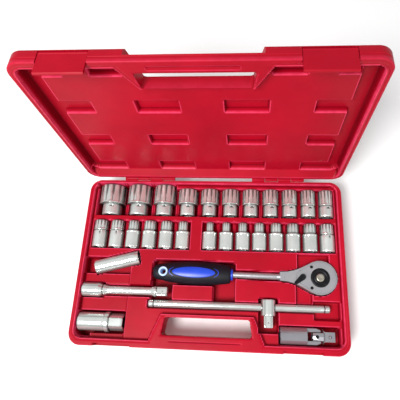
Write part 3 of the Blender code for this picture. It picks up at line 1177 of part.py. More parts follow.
def build_lid():
    frame = frame_empty("lid_frame", (0, HINGE_Y, HINGE_Z), (-LID_OPEN, 0, 0))
    outer = layers([(case_outline(), LID_RIM_Z), (case_outline(), LID_TOP_Z - FOOT_CHAMFER),
                    (case_outline(FOOT_CHAMFER), LID_TOP_Z)])
    lid = piece(moved(outer, 0, -HINGE_Y, -HINGE_Z), "lid_shell", PLASTIC, parent=frame)
    rim = recess_corners(INNER_BACK, WINDOW_BACK + WALL / 2, WINDOW_HALF_BACK + WALL, BLOCK_HALF_FRONT)
    panel = recess_corners(INNER_BACK - LID_BACK_SLOPE, WINDOW_BACK + WALL / 2, WINDOW_HALF_BACK + WALL,
                           BLOCK_HALF_FRONT)
    panel_z = LID_RIM_Z + PANEL_DROP
    channel_z = LID_RIM_Z + CHANNEL_DROP
    under = lid_undercut_corners()
    below = LID_RIM_Z - OVERSHOOT
    axis_z = LID_RIM_Z + LATCH_AXIS_RISE
    skins = {"lid_cuts": 0.0, "lid_hollow_keep": SOLID_EDGE}
    for name, grow in skins.items():
        group = tool_group(name)
        rise = WALL if grow else 0.0
        step = layers([(rounded(rim, grow), below), (rounded(rim, grow), LID_RIM_Z),
                       (rounded(panel, grow), panel_z + rise)])
        lid_solid(step, f"{name}_recess", group, frame)
        for tag, x0, x1 in (("left", -INNER_HALF, -PANEL_HALF), ("right", PANEL_HALF, INNER_HALF)):
            corners = box_outline(x0, x1, INNER_FRONT, INNER_BACK - LID_BACK_SLOPE, CHANNEL_CORNER)
            lid_solid(prism(rounded(corners, grow), below, channel_z + rise), f"{name}_channel_{tag}", group,
                      frame)
        for i, (x0, x1, y0, y1) in enumerate(lid_pockets()):
            left = x0 - POCKET_GAP if x0 <= -PANEL_HALF else x0
            right = x1 + POCKET_GAP if x1 >= PANEL_HALF else x1
            corners = box_outline(left, right, y0, y1, POCKET_CORNER)
            lid_solid(prism(rounded(corners, grow, 2), below, channel_z + rise), f"{name}_pocket_{i}", group,
                      frame)
        lid_solid(prism(rounded(window_corners(), grow), below, LID_TOP_Z + OVERSHOOT), f"{name}_window",
                  group, frame)
        outside_low = LID_RIM_Z + LID_HANDLE_THICKNESS - rise
        lid_solid(prism(rounded(under, grow), outside_low, LID_TOP_Z + OVERSHOOT), f"{name}_undercut", group,
                  frame)
        for side in (-1, 1):
            high = axis_z + LATCH_BARREL + 2 * GAP
            bm = front_recess(side * LATCH_CENTRE, below, high, grow)
            lid_solid(bm, f"{name}_latch_{'left' if side < 0 else 'right'}", group, frame)
    hollow_group = tool_group("lid_hollow")
    space = prism(case_outline(WALL), LID_RIM_Z + WALL, LID_TOP_Z - WALL)
    hollow = lid_solid(space, "lid_hollow_space", hollow_group, frame)
    apply_group(hollow, bpy.data.collections["lid_hollow_keep"])
    small = tool_group("lid_small_cuts")
    vent = turned([(-2 * OVERSHOOT, VENT_RADIUS), (WALL + OVERSHOOT, VENT_RADIUS)], 12)
    vent_z = LID_RIM_Z + LID_HEIGHT / 2
    lid_solid(moved(facing(vent, (0, 1, 0)), 0, HALF_WIDTH - WALL, vent_z), "lid_vent_drill", small, frame)
    for side in (-1, 1):
        half = LATCH_WIDTH / 2 + LATCH_PIN_LENGTH + GAP
        drill = facing(turned([(-half, LATCH_PIN + GAP), (half, LATCH_PIN + GAP)], 12), (1, 0, 0))
        moved(drill, side * LATCH_CENTRE, latch_axis_y(), axis_z)
        lid_solid(drill, f"latch_pin_drill_{'left' if side < 0 else 'right'}", small, frame)
    apply_group(lid, hollow_group)
    apply_group(lid, bpy.data.collections["lid_cuts"])
    apply_group(lid, small)
    add_knuckles(lid, "lid", frame, LID_RIM_Z, LID_RIM_Z + KNUCKLE_ROOT)
    return frame


def latch_axis_y():
    return LATCH_RECESS / 2 - HALF_WIDTH


def build_latch(side, frame):
    # A flap with a barrel along its top and a stub pin at each end, in the latch axis's frame.
    name = "latch_left" if side < 0 else "latch_right"
    half = LATCH_WIDTH / 2
    low = -LATCH_AXIS_RISE - LATCH_REACH
    back = LATCH_THICKNESS / 2
    lip = back + LATCH_LIP[0]
    section = [(-back, 0), (-back, low + LATCH_LIP[1]), (LATCH_LIP[1] - back, low), (lip, low),
               (lip, low + LATCH_LIP[2]), (back, low + LATCH_LIP[3]), (back, 0)]
    flap = loft([[(x, y, z) for y, z in section] for x in (-half, half)])
    place = (side * LATCH_CENTRE, latch_axis_y() - HINGE_Y, LID_RIM_Z + LATCH_AXIS_RISE - HINGE_Z)
    latch = piece(flap, name, PLASTIC, place, frame)
    joined = tool_group(f"{name}_axle")
    reach = half + LATCH_PIN_LENGTH
    axle = turned([(-reach, LATCH_PIN), (-half, LATCH_PIN), (-half, LATCH_BARREL), (half, LATCH_BARREL),
                   (half, LATCH_PIN), (reach, LATCH_PIN)], 12)
    helper(facing(axle, (1, 0, 0)), f"{name}_barrel", joined, place, frame)
    apply_group(latch, joined, "UNION")


def build_hinge_pins():
    half = KNUCKLE_LENGTH * KNUCKLES / 2 - GAP
    for side, name in ((-1, "hinge_pin_left"), (1, "hinge_pin_right")):
        pin = turned([(-half, PIN_RADIUS), (half, PIN_RADIUS)], 12)
        piece(facing(pin, (1, 0, 0)), name, PIN_STEEL, (side * HINGE_CENTRE, HINGE_Y, HINGE_Z))


def main():
    for obj in list(bpy.data.objects):
        bpy.data.objects.remove(obj)
    ratchet_frame = build_ratchet()
    build_base(ratchet_frame)
    lid_frame = build_lid()
    for side in (-1, 1):
        build_latch(side, lid_frame)
    build_hinge_pins()
    build_sockets()
    build_plug_sockets()
    build_extension()
    build_tee()
    build_universal_joint()


main()
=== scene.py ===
# Socket wrench set in its moulded case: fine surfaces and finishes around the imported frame.
import json
import math

import bmesh
import bpy
import numpy as np
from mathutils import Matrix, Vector


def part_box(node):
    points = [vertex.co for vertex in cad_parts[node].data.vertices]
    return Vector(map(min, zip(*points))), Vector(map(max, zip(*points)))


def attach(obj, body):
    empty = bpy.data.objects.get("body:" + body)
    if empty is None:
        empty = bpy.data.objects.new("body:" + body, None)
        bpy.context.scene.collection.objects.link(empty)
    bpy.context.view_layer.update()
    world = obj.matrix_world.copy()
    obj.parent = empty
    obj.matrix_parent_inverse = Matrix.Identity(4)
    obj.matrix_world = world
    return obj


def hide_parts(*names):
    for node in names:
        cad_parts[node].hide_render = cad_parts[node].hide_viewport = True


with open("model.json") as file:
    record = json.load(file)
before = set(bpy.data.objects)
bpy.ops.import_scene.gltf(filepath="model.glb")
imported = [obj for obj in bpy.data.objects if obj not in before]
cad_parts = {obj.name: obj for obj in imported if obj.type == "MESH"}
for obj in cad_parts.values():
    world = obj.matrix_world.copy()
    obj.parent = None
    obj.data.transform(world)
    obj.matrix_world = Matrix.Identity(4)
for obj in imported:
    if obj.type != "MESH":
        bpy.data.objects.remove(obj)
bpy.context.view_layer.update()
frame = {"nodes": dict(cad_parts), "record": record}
scene = bpy.context.scene
print("frame loaded:", len(frame["nodes"]), "nodes")


# ---- shader maths: one class for sockets, one method for every other node
class Sock:
    def __init__(self, tree, socket):
        self.tree = tree
        self.socket = socket

    def math(self, operation, *others):
        node = self.tree.nodes.new("ShaderNodeMath")
        node.operation = operation
        for slot, value in enumerate((self,) + others):
            feed(self.tree, node.inputs[slot], value)
        return Sock(self.tree, node.outputs[0])

    def __add__(self, other):
        return self.math("ADD", other)

    def __mul__(self, other):
        return self.math("MULTIPLY", other)

    __radd__ = __add__
    __rmul__ = __mul__


def feed(tree, target, value):
    # A value goes on the socket itself, and a Sock is linked to it
    if isinstance(value, Sock):
        tree.links.new(value.socket, target)
    else:
        target.default_value = value


class Finish:
    # A material under construction: node() takes a type, settings first, then its inputs
    def __init__(self, name):
        self.material = bpy.data.materials.new(name)
        self.material.use_nodes = True
        self.tree = self.material.node_tree
        self.shader = self.tree.nodes["Principled BSDF"]
        self.coords = self.node("ShaderNodeTexCoord", out="Object")

    def node(self, kind, settings=None, inputs=None, out=0):
        made = self.tree.nodes.new(kind)
        for key, value in (settings or {}).items():
            setattr(made, key, value)
        for key, value in (inputs or {}).items():
            feed(self.tree, made.inputs[key], value)
        return Sock(self.tree, made.outputs[out])

    def attribute(self, name):
        return self.node("ShaderNodeAttribute", {"attribute_name": name}, out="Fac")

    def noise(self, scale, detail=3.0, roughness=0.5, stretch=(1, 1, 1)):
        moved = self.node("ShaderNodeMapping", inputs={"Vector": self.coords, "Scale": stretch})
        return self.node("ShaderNodeTexNoise", inputs={"Vector": moved, "Scale": scale, "Detail": detail,
                                                       "Roughness": roughness})

    def ramp(self, value, low, high):
        # 0 below low, 1 above high, straight between
        return self.node("ShaderNodeMapRange", inputs={"Value": value, "From Min": low, "From Max": high})

    def blend(self, share, first, second):
        return self.node("ShaderNodeMix", {"data_type": "RGBA"},
                         {"Factor": share, 6: first, 7: second}, out=2)

    def bump(self, height, strength, distance, normal=None):
        inputs = {"Height": height, "Strength": strength, "Distance": distance}
        if normal is not None:
            inputs["Normal"] = normal
        return self.node("ShaderNodeBump", inputs=inputs)

    def set(self, **sockets):
        for key, value in sockets.items():
            feed(self.tree, self.shader.inputs[key.replace("_", " ")], value)
        return self.material


# ---- finishes
plasticLook = dict(red=(0.44, 0.002, 0.017, 1), deep=(0.33, 0.0015, 0.012, 1), pale=(0.85, 0.06, 0.15, 1),
                   dark=(0.16, 0.001, 0.006, 1), grain=900.0, rough=0.42)


def makeCasePlastic():
    # Blow-moulded red polyethylene: fine grain, soft waves from the mould, a painted highlight along convex
    # edges and painted shade in creases
    f = Finish("case_plastic")
    look = plasticLook
    cloud = f.noise(9.0, 4.0, 0.6)
    tone = f.blend(f.ramp(cloud, 0.35, 0.7), look["deep"], look["red"])
    edge = f.attribute("edge")
    speck = f.ramp(f.noise(130.0, 2.0), 0.35, 0.75)
    # Painted highlight: a light tone on convex edges, broken by specks; painted shade: a dark tone in
    # creases
    tone = f.blend(f.ramp(edge, 0.08, 0.9) * (speck * 0.4 + 0.6), tone, look["pale"])
    tone = f.blend(f.ramp(edge * -1.0, 0.08, 0.9) * 0.75, tone, look["dark"])
    grain = f.noise(look["grain"], 2.0)
    wave = f.noise(22.0, 2.0)
    normal = f.bump(grain, 0.10, 0.0003)
    normal = f.bump(wave, 0.10, 0.004, normal)
    rough = f.ramp(f.noise(60.0, 3.0), 0.2, 0.9) * 0.16 + (look["rough"] - 0.08)
    return f.set(Base_Color=tone, Roughness=rough, Normal=normal, Specular_IOR_Level=0.12)


# Plated steels: roughness where polished and where brushed, then the light and dark tones
chromeLook = dict(metal=0.66, paintedShadeReflection=(0.035, 0.030, 0.032, 1))
chromes = {
    "polished_chrome": (0.13, 0.30, (0.80, 0.85, 0.82, 1), (0.50, 0.54, 0.52, 1)),
    "satin_chrome": (0.27, 0.34, (0.46, 0.46, 0.48, 1), (0.34, 0.34, 0.37, 1)),
    "pin_steel": (0.24, 0.3, (0.52, 0.52, 0.53, 1), (0.38, 0.38, 0.40, 1)),
    "mirror_chrome": (0.08, 0.2, (0.40, 0.40, 0.43, 1), (0.26, 0.26, 0.29, 1)),
    "warm_steel": (0.30, 0.36, (0.40, 0.37, 0.31, 1), (0.30, 0.28, 0.24, 1)),
}


def makeChrome(name):
    # The satin attribute marks brushed zones, the shade attribute paints shade in hollows and on the flanks
    # and dark reflection stripes, fine lines run round the axis
    polished, satin, colour, shade = chromes[name]
    f = Finish(name)
    zone = f.attribute("satin")
    paintedShadeReflection = f.attribute("shade")
    haze = f.noise(45.0, 3.0)
    lines = f.noise(240.0, 2.0, 0.5, (1.0, 14.0, 1.0))
    tone = f.blend(f.ramp(haze, 0.35, 0.75) * 0.5, colour, shade)
    # Painted shade and painted dark reflections, laid over the tone where the shade attribute asks
    tone = f.blend(paintedShadeReflection, tone, chromeLook["paintedShadeReflection"])
    smear = f.ramp(f.noise(70.0, 4.0), 0.3, 0.8)
    rough = zone * (satin - polished) + smear * 0.05 + polished
    return f.set(Base_Color=tone, Roughness=rough, Metallic=chromeLook["metal"],
                 Normal=f.bump(lines, 0.05, 0.0002))


def makeDarkSteel():
    # Black-oxide steel with a faint oily sheen and light rubbed spots
    f = Finish("dark_steel")
    rub = f.ramp(f.noise(160.0, 3.0), 0.55, 0.85)
    tone = f.blend(rub, (0.012, 0.012, 0.014, 1), (0.06, 0.06, 0.065, 1))
    return f.set(Base_Color=tone, Metallic=0.75, Roughness=f.noise(90.0) * 0.2 + 0.28,
                 Normal=f.bump(f.noise(700.0), 0.12, 0.0002))


def makeGripRubber():
    # Soft black grip: pebbled skin, dull with a slight sheen
    f = Finish("grip_rubber")
    cell = f.node("ShaderNodeTexVoronoi", inputs={"Vector": f.coords, "Scale": 950.0})
    tone = f.blend(f.noise(30.0), (0.003, 0.003, 0.006, 1), (0.010, 0.010, 0.016, 1))
    return f.set(Base_Color=tone, Roughness=f.noise(55.0) * 0.15 + 0.40,
                 Normal=f.bump(cell, 0.15, 0.0002), Specular_IOR_Level=0.25)


def makeDyed(name, look):
    # A plain moulded finish: two tones in clouds, uneven gloss and a fine grain
    f = Finish(name)
    tone = f.blend(f.noise(look["cloud"]), look["first"], look["second"])
    return f.set(Base_Color=tone, Roughness=f.noise(look["smear"]) * look["spread"] + look["rough"],
                 Normal=f.bump(f.noise(look["grain"]), look["bump"], look["depth"]))


inlayLook = dict(first=(0.006, 0.040, 0.50, 1), second=(0.010, 0.070, 0.66, 1), cloud=40.0, smear=80.0,
                 spread=0.12, rough=0.26, grain=800.0, bump=0.10, depth=0.0002)
eyeletLook = dict(first=(0.36, 0.55, 0.85, 1), second=(0.62, 0.78, 0.95, 1), cloud=90.0, smear=70.0,
                  spread=0.1, rough=0.25, grain=600.0, bump=0.08, depth=0.0002)
insertLook = dict(first=(0.010, 0.010, 0.010, 1), second=(0.030, 0.030, 0.030, 1), cloud=60.0, smear=90.0,
                  spread=0.1, rough=0.7, grain=500.0, bump=0.2, depth=0.0004)


def makeFloor():
    f = Finish("pale_floor")
    tone = f.blend(f.noise(3.0), (0.93, 0.93, 0.93, 1), (0.97, 0.97, 0.97, 1))
    return f.set(Base_Color=tone, Roughness=0.85)


finishes = {
    **{name: makeChrome(name) for name in chromes},
    "case_plastic": makeCasePlastic(),
    "dark_steel": makeDarkSteel(),
    "grip_rubber": makeGripRubber(),
    "blue_inlay": makeDyed("blue_inlay", inlayLook),
    "eyelet_plastic": makeDyed("eyelet_plastic", eyeletLook),
    "insert_rubber": makeDyed("insert_rubber", insertLook),
}
print("finishes made:", len(finishes))


# ---- meshes from arrays
def gridFaces(rows, columns, wrapRows=False, wrapColumns=False, first=0):
    # Quads between neighbouring points of a rows x columns grid
    i = np.arange(rows if wrapRows else rows - 1)
    j = np.arange(columns if wrapColumns else columns - 1)
    a, b = np.meshgrid(i, j, indexing="ij")
    a, b = a.ravel(), b.ravel()
    up, on = (a + 1) % rows, (b + 1) % columns
    return np.stack([a * columns + b, up * columns + b, up * columns + on, a * columns + on], 1) + first


def fanFaces(ring, centre):
    return [(int(a), int(b), centre) for a, b in zip(ring, np.roll(ring, -1))]


def tube(points, closed=False, capped=True):
    # A grid of rings, the last joined to the first, or each end closed by a fan to its middle
    rows, columns = points.shape[:2]
    vertices = points.reshape(-1, 3)
    faces = gridFaces(rows, columns, closed, True).tolist()
    if capped and not closed:
        ends = np.stack([points[0].mean(0), points[-1].mean(0)])
        vertices = np.concatenate([vertices, ends])
        faces += fanFaces(np.arange(columns), rows * columns)
        faces += fanFaces(np.arange(columns) + (rows - 1) * columns, rows * columns + 1)
    return vertices, faces


def plainMesh(name, parts):
    # One object from closed parts, each (vertices, faces), normals outward
    vertices, faces, first = [], [], 0
    for points, polygons in parts:
        vertices.append(points)
        faces += [tuple(int(k) + first for k in polygon) for polygon in polygons]
        first += len(points)
    mesh = bpy.data.meshes.new(name)
    mesh.from_pydata(np.concatenate(vertices).tolist(), [], faces)
    bm = bmesh.new()
    bm.from_mesh(mesh)
    bmesh.ops.recalc_face_normals(bm, faces=bm.faces)
    bm.to_mesh(mesh)
    bm.free()
    obj = bpy.data.objects.new(name, mesh)
    scene.collection.objects.link(obj)
    return obj


def makePiece(name, parts, body, slot, nodes=(), satin=None, sharp=40, shade=None, edge=None):
    # A finished piece, with its point attributes, body, slot and the nodes that it stands for
    obj = plainMesh(name, parts)
    mesh = obj.data
    for key, values in (("satin", satin), ("shade", shade), ("edge", edge)):
        if values is not None:
            full = np.zeros(len(mesh.vertices), np.float32)
            full[:len(values)] = values
            mesh.attributes.new(key, "FLOAT", "POINT").data.foreach_set("value", full)
    mesh.shade_smooth()
    mesh.set_sharp_from_angle(angle=math.radians(sharp))
    mesh.materials.append(finishes[slot])
    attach(obj, body)
    if nodes:
        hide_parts(*nodes)
    return obj


def boxOf(node):
    # The node's corners and its middle
    lo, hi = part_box(node)
    return lo, hi, (lo + hi) / 2


def softStep(t):
    t = np.clip(t, 0, 1)
    return t * t * (3 - 2 * t)


def filleted(corners, radius, steps=4):
    # A profile of (along, across) points with each inner corner rounded by a short quadratic curve
    points = [np.array(corners[0], float)]
    for before, corner, after in zip(corners[:-2], corners[1:-1], corners[2:]):
        before, corner, after = (np.array(p, float) for p in (before, corner, after))
        back, on = before - corner, after - corner
        size = min(radius, 0.45 * np.linalg.norm(back), 0.45 * np.linalg.norm(on))
        start = corner + back / np.linalg.norm(back) * size
        end = corner + on / np.linalg.norm(on) * size
        t = np.linspace(0, 1, steps)[:, None]
        points += list((1 - t) ** 2 * start + 2 * t * (1 - t) * corner + t * t * end)
    points.append(np.array(corners[-1], float))
    return np.array(points)


def turned(*pairs):
    # Round stations from (along, radius) pairs
    return [(along, radius, 0) for along, radius in pairs]


def polygonRadius(angle, size, corners):
    # Radius of a regular polygon of this size across its flats
    half = math.pi / corners
    return size / 2 / np.cos((angle + half) % (2 * half) - half)


def around(profile, axis, start, sides=48):
    # A profile of (along, radius) carried round an axis
    angle = np.linspace(0, 2 * math.pi, sides, endpoint=False)
    along, radius = profile[:, :1], profile[:, 1:2] * np.ones(sides)
    axis = np.array(axis, float)
    side = np.cross(axis, (0, 0, 1)) if abs(axis[2]) < 0.9 else np.array((1.0, 0, 0))
    side = side / np.linalg.norm(side)
    up = np.cross(side, axis)
    spoke = np.cos(angle)[:, None] * up + np.sin(angle)[:, None] * side
    return np.array(start) + along[..., None] * axis + radius[..., None] * spoke[None]


# ---- distances in the plane, for pressed shapes
def boxDistance(x, y, x0, x1, y0, y1, radius=0.0):
    # Signed distance to a rectangle with round corners, negative inside
    u = np.abs(x - (x0 + x1) / 2) - (x1 - x0) / 2 + radius
    v = np.abs(y - (y0 + y1) / 2) - (y1 - y0) / 2 + radius
    return np.hypot(np.maximum(u, 0), np.maximum(v, 0)) + np.minimum(np.maximum(u, v), 0) - radius


def polygonDistance(x, y, points):
    # Signed distance to a polygon: the nearest edge, negative inside by crossing count
    best = np.full(x.shape, 1e9)
    inside = np.zeros(x.shape, bool)
    for (ax, ay), (bx, by) in zip(points, points[1:] + points[:1]):
        ex, ey = bx - ax, by - ay
        t = np.clip(((x - ax) * ex + (y - ay) * ey) / (ex * ex + ey * ey), 0, 1)
        best = np.minimum(best, np.hypot(x - ax - t * ex, y - ay - t * ey))
        crosses = (ay > y) != (by > y)
        inside ^= crosses & (x < ax + (y - ay) * ex / np.where(ey == 0, 1e-12, ey))
    return np.where(inside, -best, best)


def pressed(height, distance, floor, top, draft):
    # A pocket pushed into a surface: its wall climbs from floor to top across the draft
    return np.minimum(height, floor + (top - floor) * softStep(distance / draft + 0.5))


# ---- sockets: turned outside, hexagon in the nose, square in the drive end
socketLook = dict(drive=0.0127, squareDepth=0.0150, hexDepth=0.0160, flutes=12, fluteDepth=0.0011,
                  fluteWidth=0.66, collarRise=0.0004, collarWidth=0.0021, markDepth=0.0010,
                  longNose=0.0295, longLength=0.047, shortNose=0.0150, wall=1.22, thinWall=0.0015,
                  driveEnd=0.01075, fineSides=96, plainSides=72, sharp=32)
inchSizes = {"5_8in": 0.01588, "19_32in": 0.01508, "1_2in": 0.01270, "9_16in": 0.01429,
             "17_32in": 0.01349, "7_16in": 0.01111}


def socketPiece(node, size, firstRow):
    look = socketLook
    lo, hi, middle = boxOf(node)
    length = hi.y - lo.y
    outer = (look["wall"] * size + look["thinWall"]) / 2
    drive = max(look["driveEnd"], 0.74 * outer)
    nose = look["longNose"] - look["longLength"] + length if firstRow else look["shortNose"]
    step = length - nose
    bore = min(0.8 * size, look["drive"]) / 2
    hexDepth = look["hexDepth"]
    fluted = firstRow or outer > 0.0096
    sides = look["fineSides"] if fluted else look["plainSides"]
    rise, collar = look["collarRise"], look["collarWidth"]
    # Stations (along, radius, corners of the section), out along the wall and back through the bore
    rows = turned((0.0, drive - 0.0016), (0.0, drive - 0.0011), (0.0003, drive - 0.0004), (0.0011, drive))
    rows += [(a, drive, 0) for a in np.linspace(0.0025, step - 0.0030, 9 if firstRow else 5)]
    if fluted:
        rows += turned((step - 0.0024, drive - 0.0001), (step - 0.0019, drive - 0.0005),
                       (step - 0.0013, drive - 0.0005), (step - 0.0008, drive),
                       (step - 0.0002, outer - 0.0005), (step + 0.0002, outer + rise * 0.6),
                       (step + 0.0007, outer + rise), (step + collar - 0.0005, outer + rise),
                       (step + collar, outer + rise * 0.4))
        rows += [(a, outer, 0) for a in np.linspace(step + collar + 0.0004, length - 0.0012, 16)]
    else:
        rows += turned((step - 0.0036, drive - 0.0002), (step - 0.0030, drive + 0.0002),
                       (step - 0.0022, drive + 0.0004), (step - 0.0010, drive + 0.0004),
                       (step - 0.0004, drive), (step - 0.0002, drive - 0.0008),
                       (step - 0.0006, outer + 0.0006), (step - 0.0006, outer - 0.0001),
                       (step + 0.0002, outer - 0.0002), (step + 0.0010, outer))
        rows += [(a, outer, 0) for a in np.linspace(step + 0.0030, length - 0.0012, 6)]
    rows += [(length - 0.0004, outer - 0.0003, 0), (length, outer - 0.0011, 0),
             (length, size / 2 * 1.155 + 0.0005, 0), (length - 0.0006, size / 2 * 1.155, 0),
             (length - 0.0014, size, 6), (length - 0.0022, size, 6)]
    rows += [(a, size, 6) for a in np.linspace(length - 0.0050, length - hexDepth + 0.0005, 4)]
    rows += [(length - hexDepth, size * 0.98, 6), (length - hexDepth - 0.0004, bore + 0.0002, 0),
             (length - hexDepth - 0.0008, bore, 0), (look["squareDepth"] + 0.0006, bore, 0),
             (look["squareDepth"] + 0.0002, bore * 1.02, 0), (look["squareDepth"], look["drive"], 4),
             (0.0100, look["drive"], 4), (0.0050, look["drive"], 4), (0.0014, look["drive"], 4),
             (0.0004, look["drive"] + 0.0008, 4)]
    angle = np.linspace(0, 2 * math.pi, sides, endpoint=False)
    along = np.array([r[0] for r in rows])[:, None] * np.ones(sides)
    radius = np.array([r[1] for r in rows])[:, None] * np.ones(sides)
    for k, (_, across, corners) in enumerate(rows):
        if corners:
            radius[k] = polygonRadius(angle, across, corners)
            if corners == 4:
                radius[k] = np.minimum(radius[k], 0.635 * across)
    firstBack = next(k for k, r in enumerate(rows) if r[0] == length)
    outside = (np.arange(len(rows)) <= firstBack)[:, None]
    # Flute depth = D (1 - (d / w)^2), its half width w growing from the collar to the nose
    t = np.clip((along - step - collar - 0.0004) / (length - step - collar), 0, 1)
    d = np.abs((angle * look["flutes"] / (2 * math.pi)) % 1 - 0.5) * 2
    half = look["fluteWidth"] * t ** 0.8 + 1e-6
    cut = np.maximum(0, 1 - (d[None, :] / half) ** 2) * outside * (t > 0)
    lensDimple = np.zeros(radius.shape)
    if fluted:
        radius = radius - look["fluteDepth"] * cut * (0.5 + 0.5 * t) * min(1.0, outer / 0.014)
        # A shallow lens dimple pressed under the collar, right of the top; the shade below paints it dark as
        # a reflection
        place = (along - step + 0.0042) / 0.0016
        turn = ((angle[None, :] + math.pi) % (2 * math.pi) - math.pi - 0.22) * drive / 0.0036
        lensDimple = np.maximum(0, 1 - place ** 2 - turn ** 2) * outside
        radius -= look["markDepth"] * softStep(lensDimple * 1.6)
    satin = np.where(outside & (along < step - 0.0005), 0.85 if fluted else 0.3, 0.0)
    satin = satin + np.where(outside, 0, 1.0)
    # Painted shade gathers in the flutes, the groove by the collar, the bore and the lower flanks, and a
    # painted dark reflection fills the lens dimple
    line = step - 0.0006 if fluted else step + 0.0006
    groove = np.exp(-((along - line) / (0.0007 if fluted else 0.0011)) ** 2) * outside
    flank = softStep((np.abs(np.sin(angle))[None, :] - 0.72) / 0.30) * outside
    shade = np.clip(groove * 0.8 + flank * 0.6 + np.where(outside, 0, 0.75), 0, 1)
    # Painted dark reflection in the lens dimple and painted shade in the flutes
    dimpleReflection = softStep(lensDimple * 2) if fluted else 0
    shade = np.clip(shade + np.maximum(softStep(cut * 1.2) * 0.8, dimpleReflection), 0, 1)
    spoke = np.stack([radius * np.sin(angle), along, radius * np.cos(angle)], -1)
    spoke += np.array((middle.x, lo.y, middle.z))
    vertices, faces = tube(spoke, closed=True)
    makePiece(node + "_skin", [(vertices, faces)], node + "_tool", "polished_chrome",
              [node], satin.ravel(), look["sharp"], shade.ravel())


for size in (32, 30, 27, 24, 22, 21, 20, 19, 18, 17, 16):
    socketPiece(f"socket_{size}mm", size / 1000, True)
for size in range(8, 16):
    socketPiece(f"socket_{size}mm", size / 1000, False)
for name, size in inchSizes.items():
    socketPiece(f"socket_{name}", size, False)
print("sockets turned")


# ---- case halves: one height field over the outline, swept down the outer wall to a stepped cap
caseLook = dict(corner=0.018, rimFillet=0.0011, wallDraft=0.0016, step=0.0014, fine=0.0006,
                recessCorner=0.011, groove=0.0005)
baseLo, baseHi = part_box("base_shell")
halfX = (baseHi.x - baseLo.x) / 2
halfY = -baseLo.y
rimZ = 0.046
hingeY = halfY + 0.0026
hingeZ = rimZ + 0.00015
lidTurn = math.radians(-96.2)


def gridLines(half, rim, fine, step, extra=()):
    side = np.arange(0, rim, fine)
    middle = np.linspace(-half + rim, half - rim, int((2 * half - 2 * rim) / step) + 1)
    lines = np.concatenate([-half + side, middle, half - side, np.array(extra)])
    lines = np.sort(lines)
    return lines[np.concatenate([[True], np.diff(lines) > 1.5e-4])]


def roundCorners(x, y, inset=0.0):
    # a' = a sqrt(1 - b^2/2), b' = b sqrt(1 - a^2/2) turns each corner square into a quarter disc
    r = caseLook["corner"]
    cx, cy = halfX - r, halfY - r
    a = np.clip((np.abs(x) - cx) / r, 0, 1)
    b = np.clip((np.abs(y) - cy) / r, 0, 1)
    both = (a > 0) & (b > 0)
    px = np.where(both, cx + r * a * np.sqrt(1 - b * b / 2), np.abs(x))
    py = np.where(both, cy + r * b * np.sqrt(1 - a * a / 2), np.abs(y))
    # Pull towards the middle by the inset, along the outline's own normal
    nx = np.maximum(px - cx, 0)
    ny = np.maximum(py - cy, 0)
    size = np.maximum(np.hypot(nx, ny), 1e-9)
    px, py = px - inset * nx / size, py - inset * ny / size
    return np.copysign(px, x), np.copysign(py, y)


def shellParts(xs, ys, heightOf, walls, capInsets):
    # Grid top, then rings (inset, height) down the wall, then the cap's rings and its middle
    gx, gy = np.meshgrid(xs, ys)
    px, py = roundCorners(gx, gy)
    pz = heightOf(px, py)
    rows, columns = gx.shape
    index = np.arange(rows * columns).reshape(rows, columns)
    ring = np.concatenate([index[0, :-1], index[:-1, -1], index[-1, :0:-1], index[:0:-1, 0]])
    vertices = [np.stack([px.ravel(), py.ravel(), pz.ravel()], 1)]
    faces = gridFaces(rows, columns).tolist()
    count, last = rows * columns, ring
    for inset, height in walls + capInsets:
        qx, qy = roundCorners(gx.ravel()[ring], gy.ravel()[ring], inset)
        vertices.append(np.stack([qx, qy, np.full(len(ring), height)], 1))
        following = np.arange(len(ring)) + count
        faces += np.stack([last, np.roll(last, -1), np.roll(following, -1), following], 1).tolist()
        count, last = count + len(ring), following
    vertices.append(np.array([[0.0, 0.0, (walls + capInsets)[-1][1]]]))
    faces += fanFaces(last, count)
    return np.concatenate(vertices), faces


def boxMesh(x0, x1, y0, y1, z0, z1):
    points = np.array([(x, y, z) for z in (z0, z1) for x, y in ((x0, y0), (x1, y0), (x1, y1), (x0, y1))])
    return points, [(3, 2, 1, 0), (4, 5, 6, 7), (0, 1, 5, 4), (1, 2, 6, 5), (2, 3, 7, 6), (3, 0, 4, 7)]


def prismMesh(outline, z0, z1):
    n = len(outline)
    points = np.array([(x, y, z0) for x, y in outline] + [(x, y, z1) for x, y in outline])
    faces = [tuple(range(n - 1, -1, -1)), tuple(range(n, 2 * n))]
    return points, faces + [(i, (i + 1) % n, n + (i + 1) % n, n + i) for i in range(n)]


def arcCorners(points, radius, steps=7):
    # The polygon with each corner replaced by an arc, anticlockwise
    rounded = []
    for i, corner in enumerate(points):
        corner = Vector(corner)
        back = (Vector(points[i - 1]) - corner).normalized()
        on = (Vector(points[(i + 1) % len(points)]) - corner).normalized()
        half = back.angle(on) / 2
        middle = corner + (back + on).normalized() * (radius / math.sin(half))
        start = corner + back * (radius / math.tan(half)) - middle
        end = corner + on * (radius / math.tan(half)) - middle
        turn = start.angle_signed(end)
        for k in range(steps):
            t = -turn * k / (steps - 1)
            rounded.append((middle.x + start.x * math.cos(t) - start.y * math.sin(t),
                            middle.y + start.x * math.sin(t) + start.y * math.cos(t)))
    return rounded


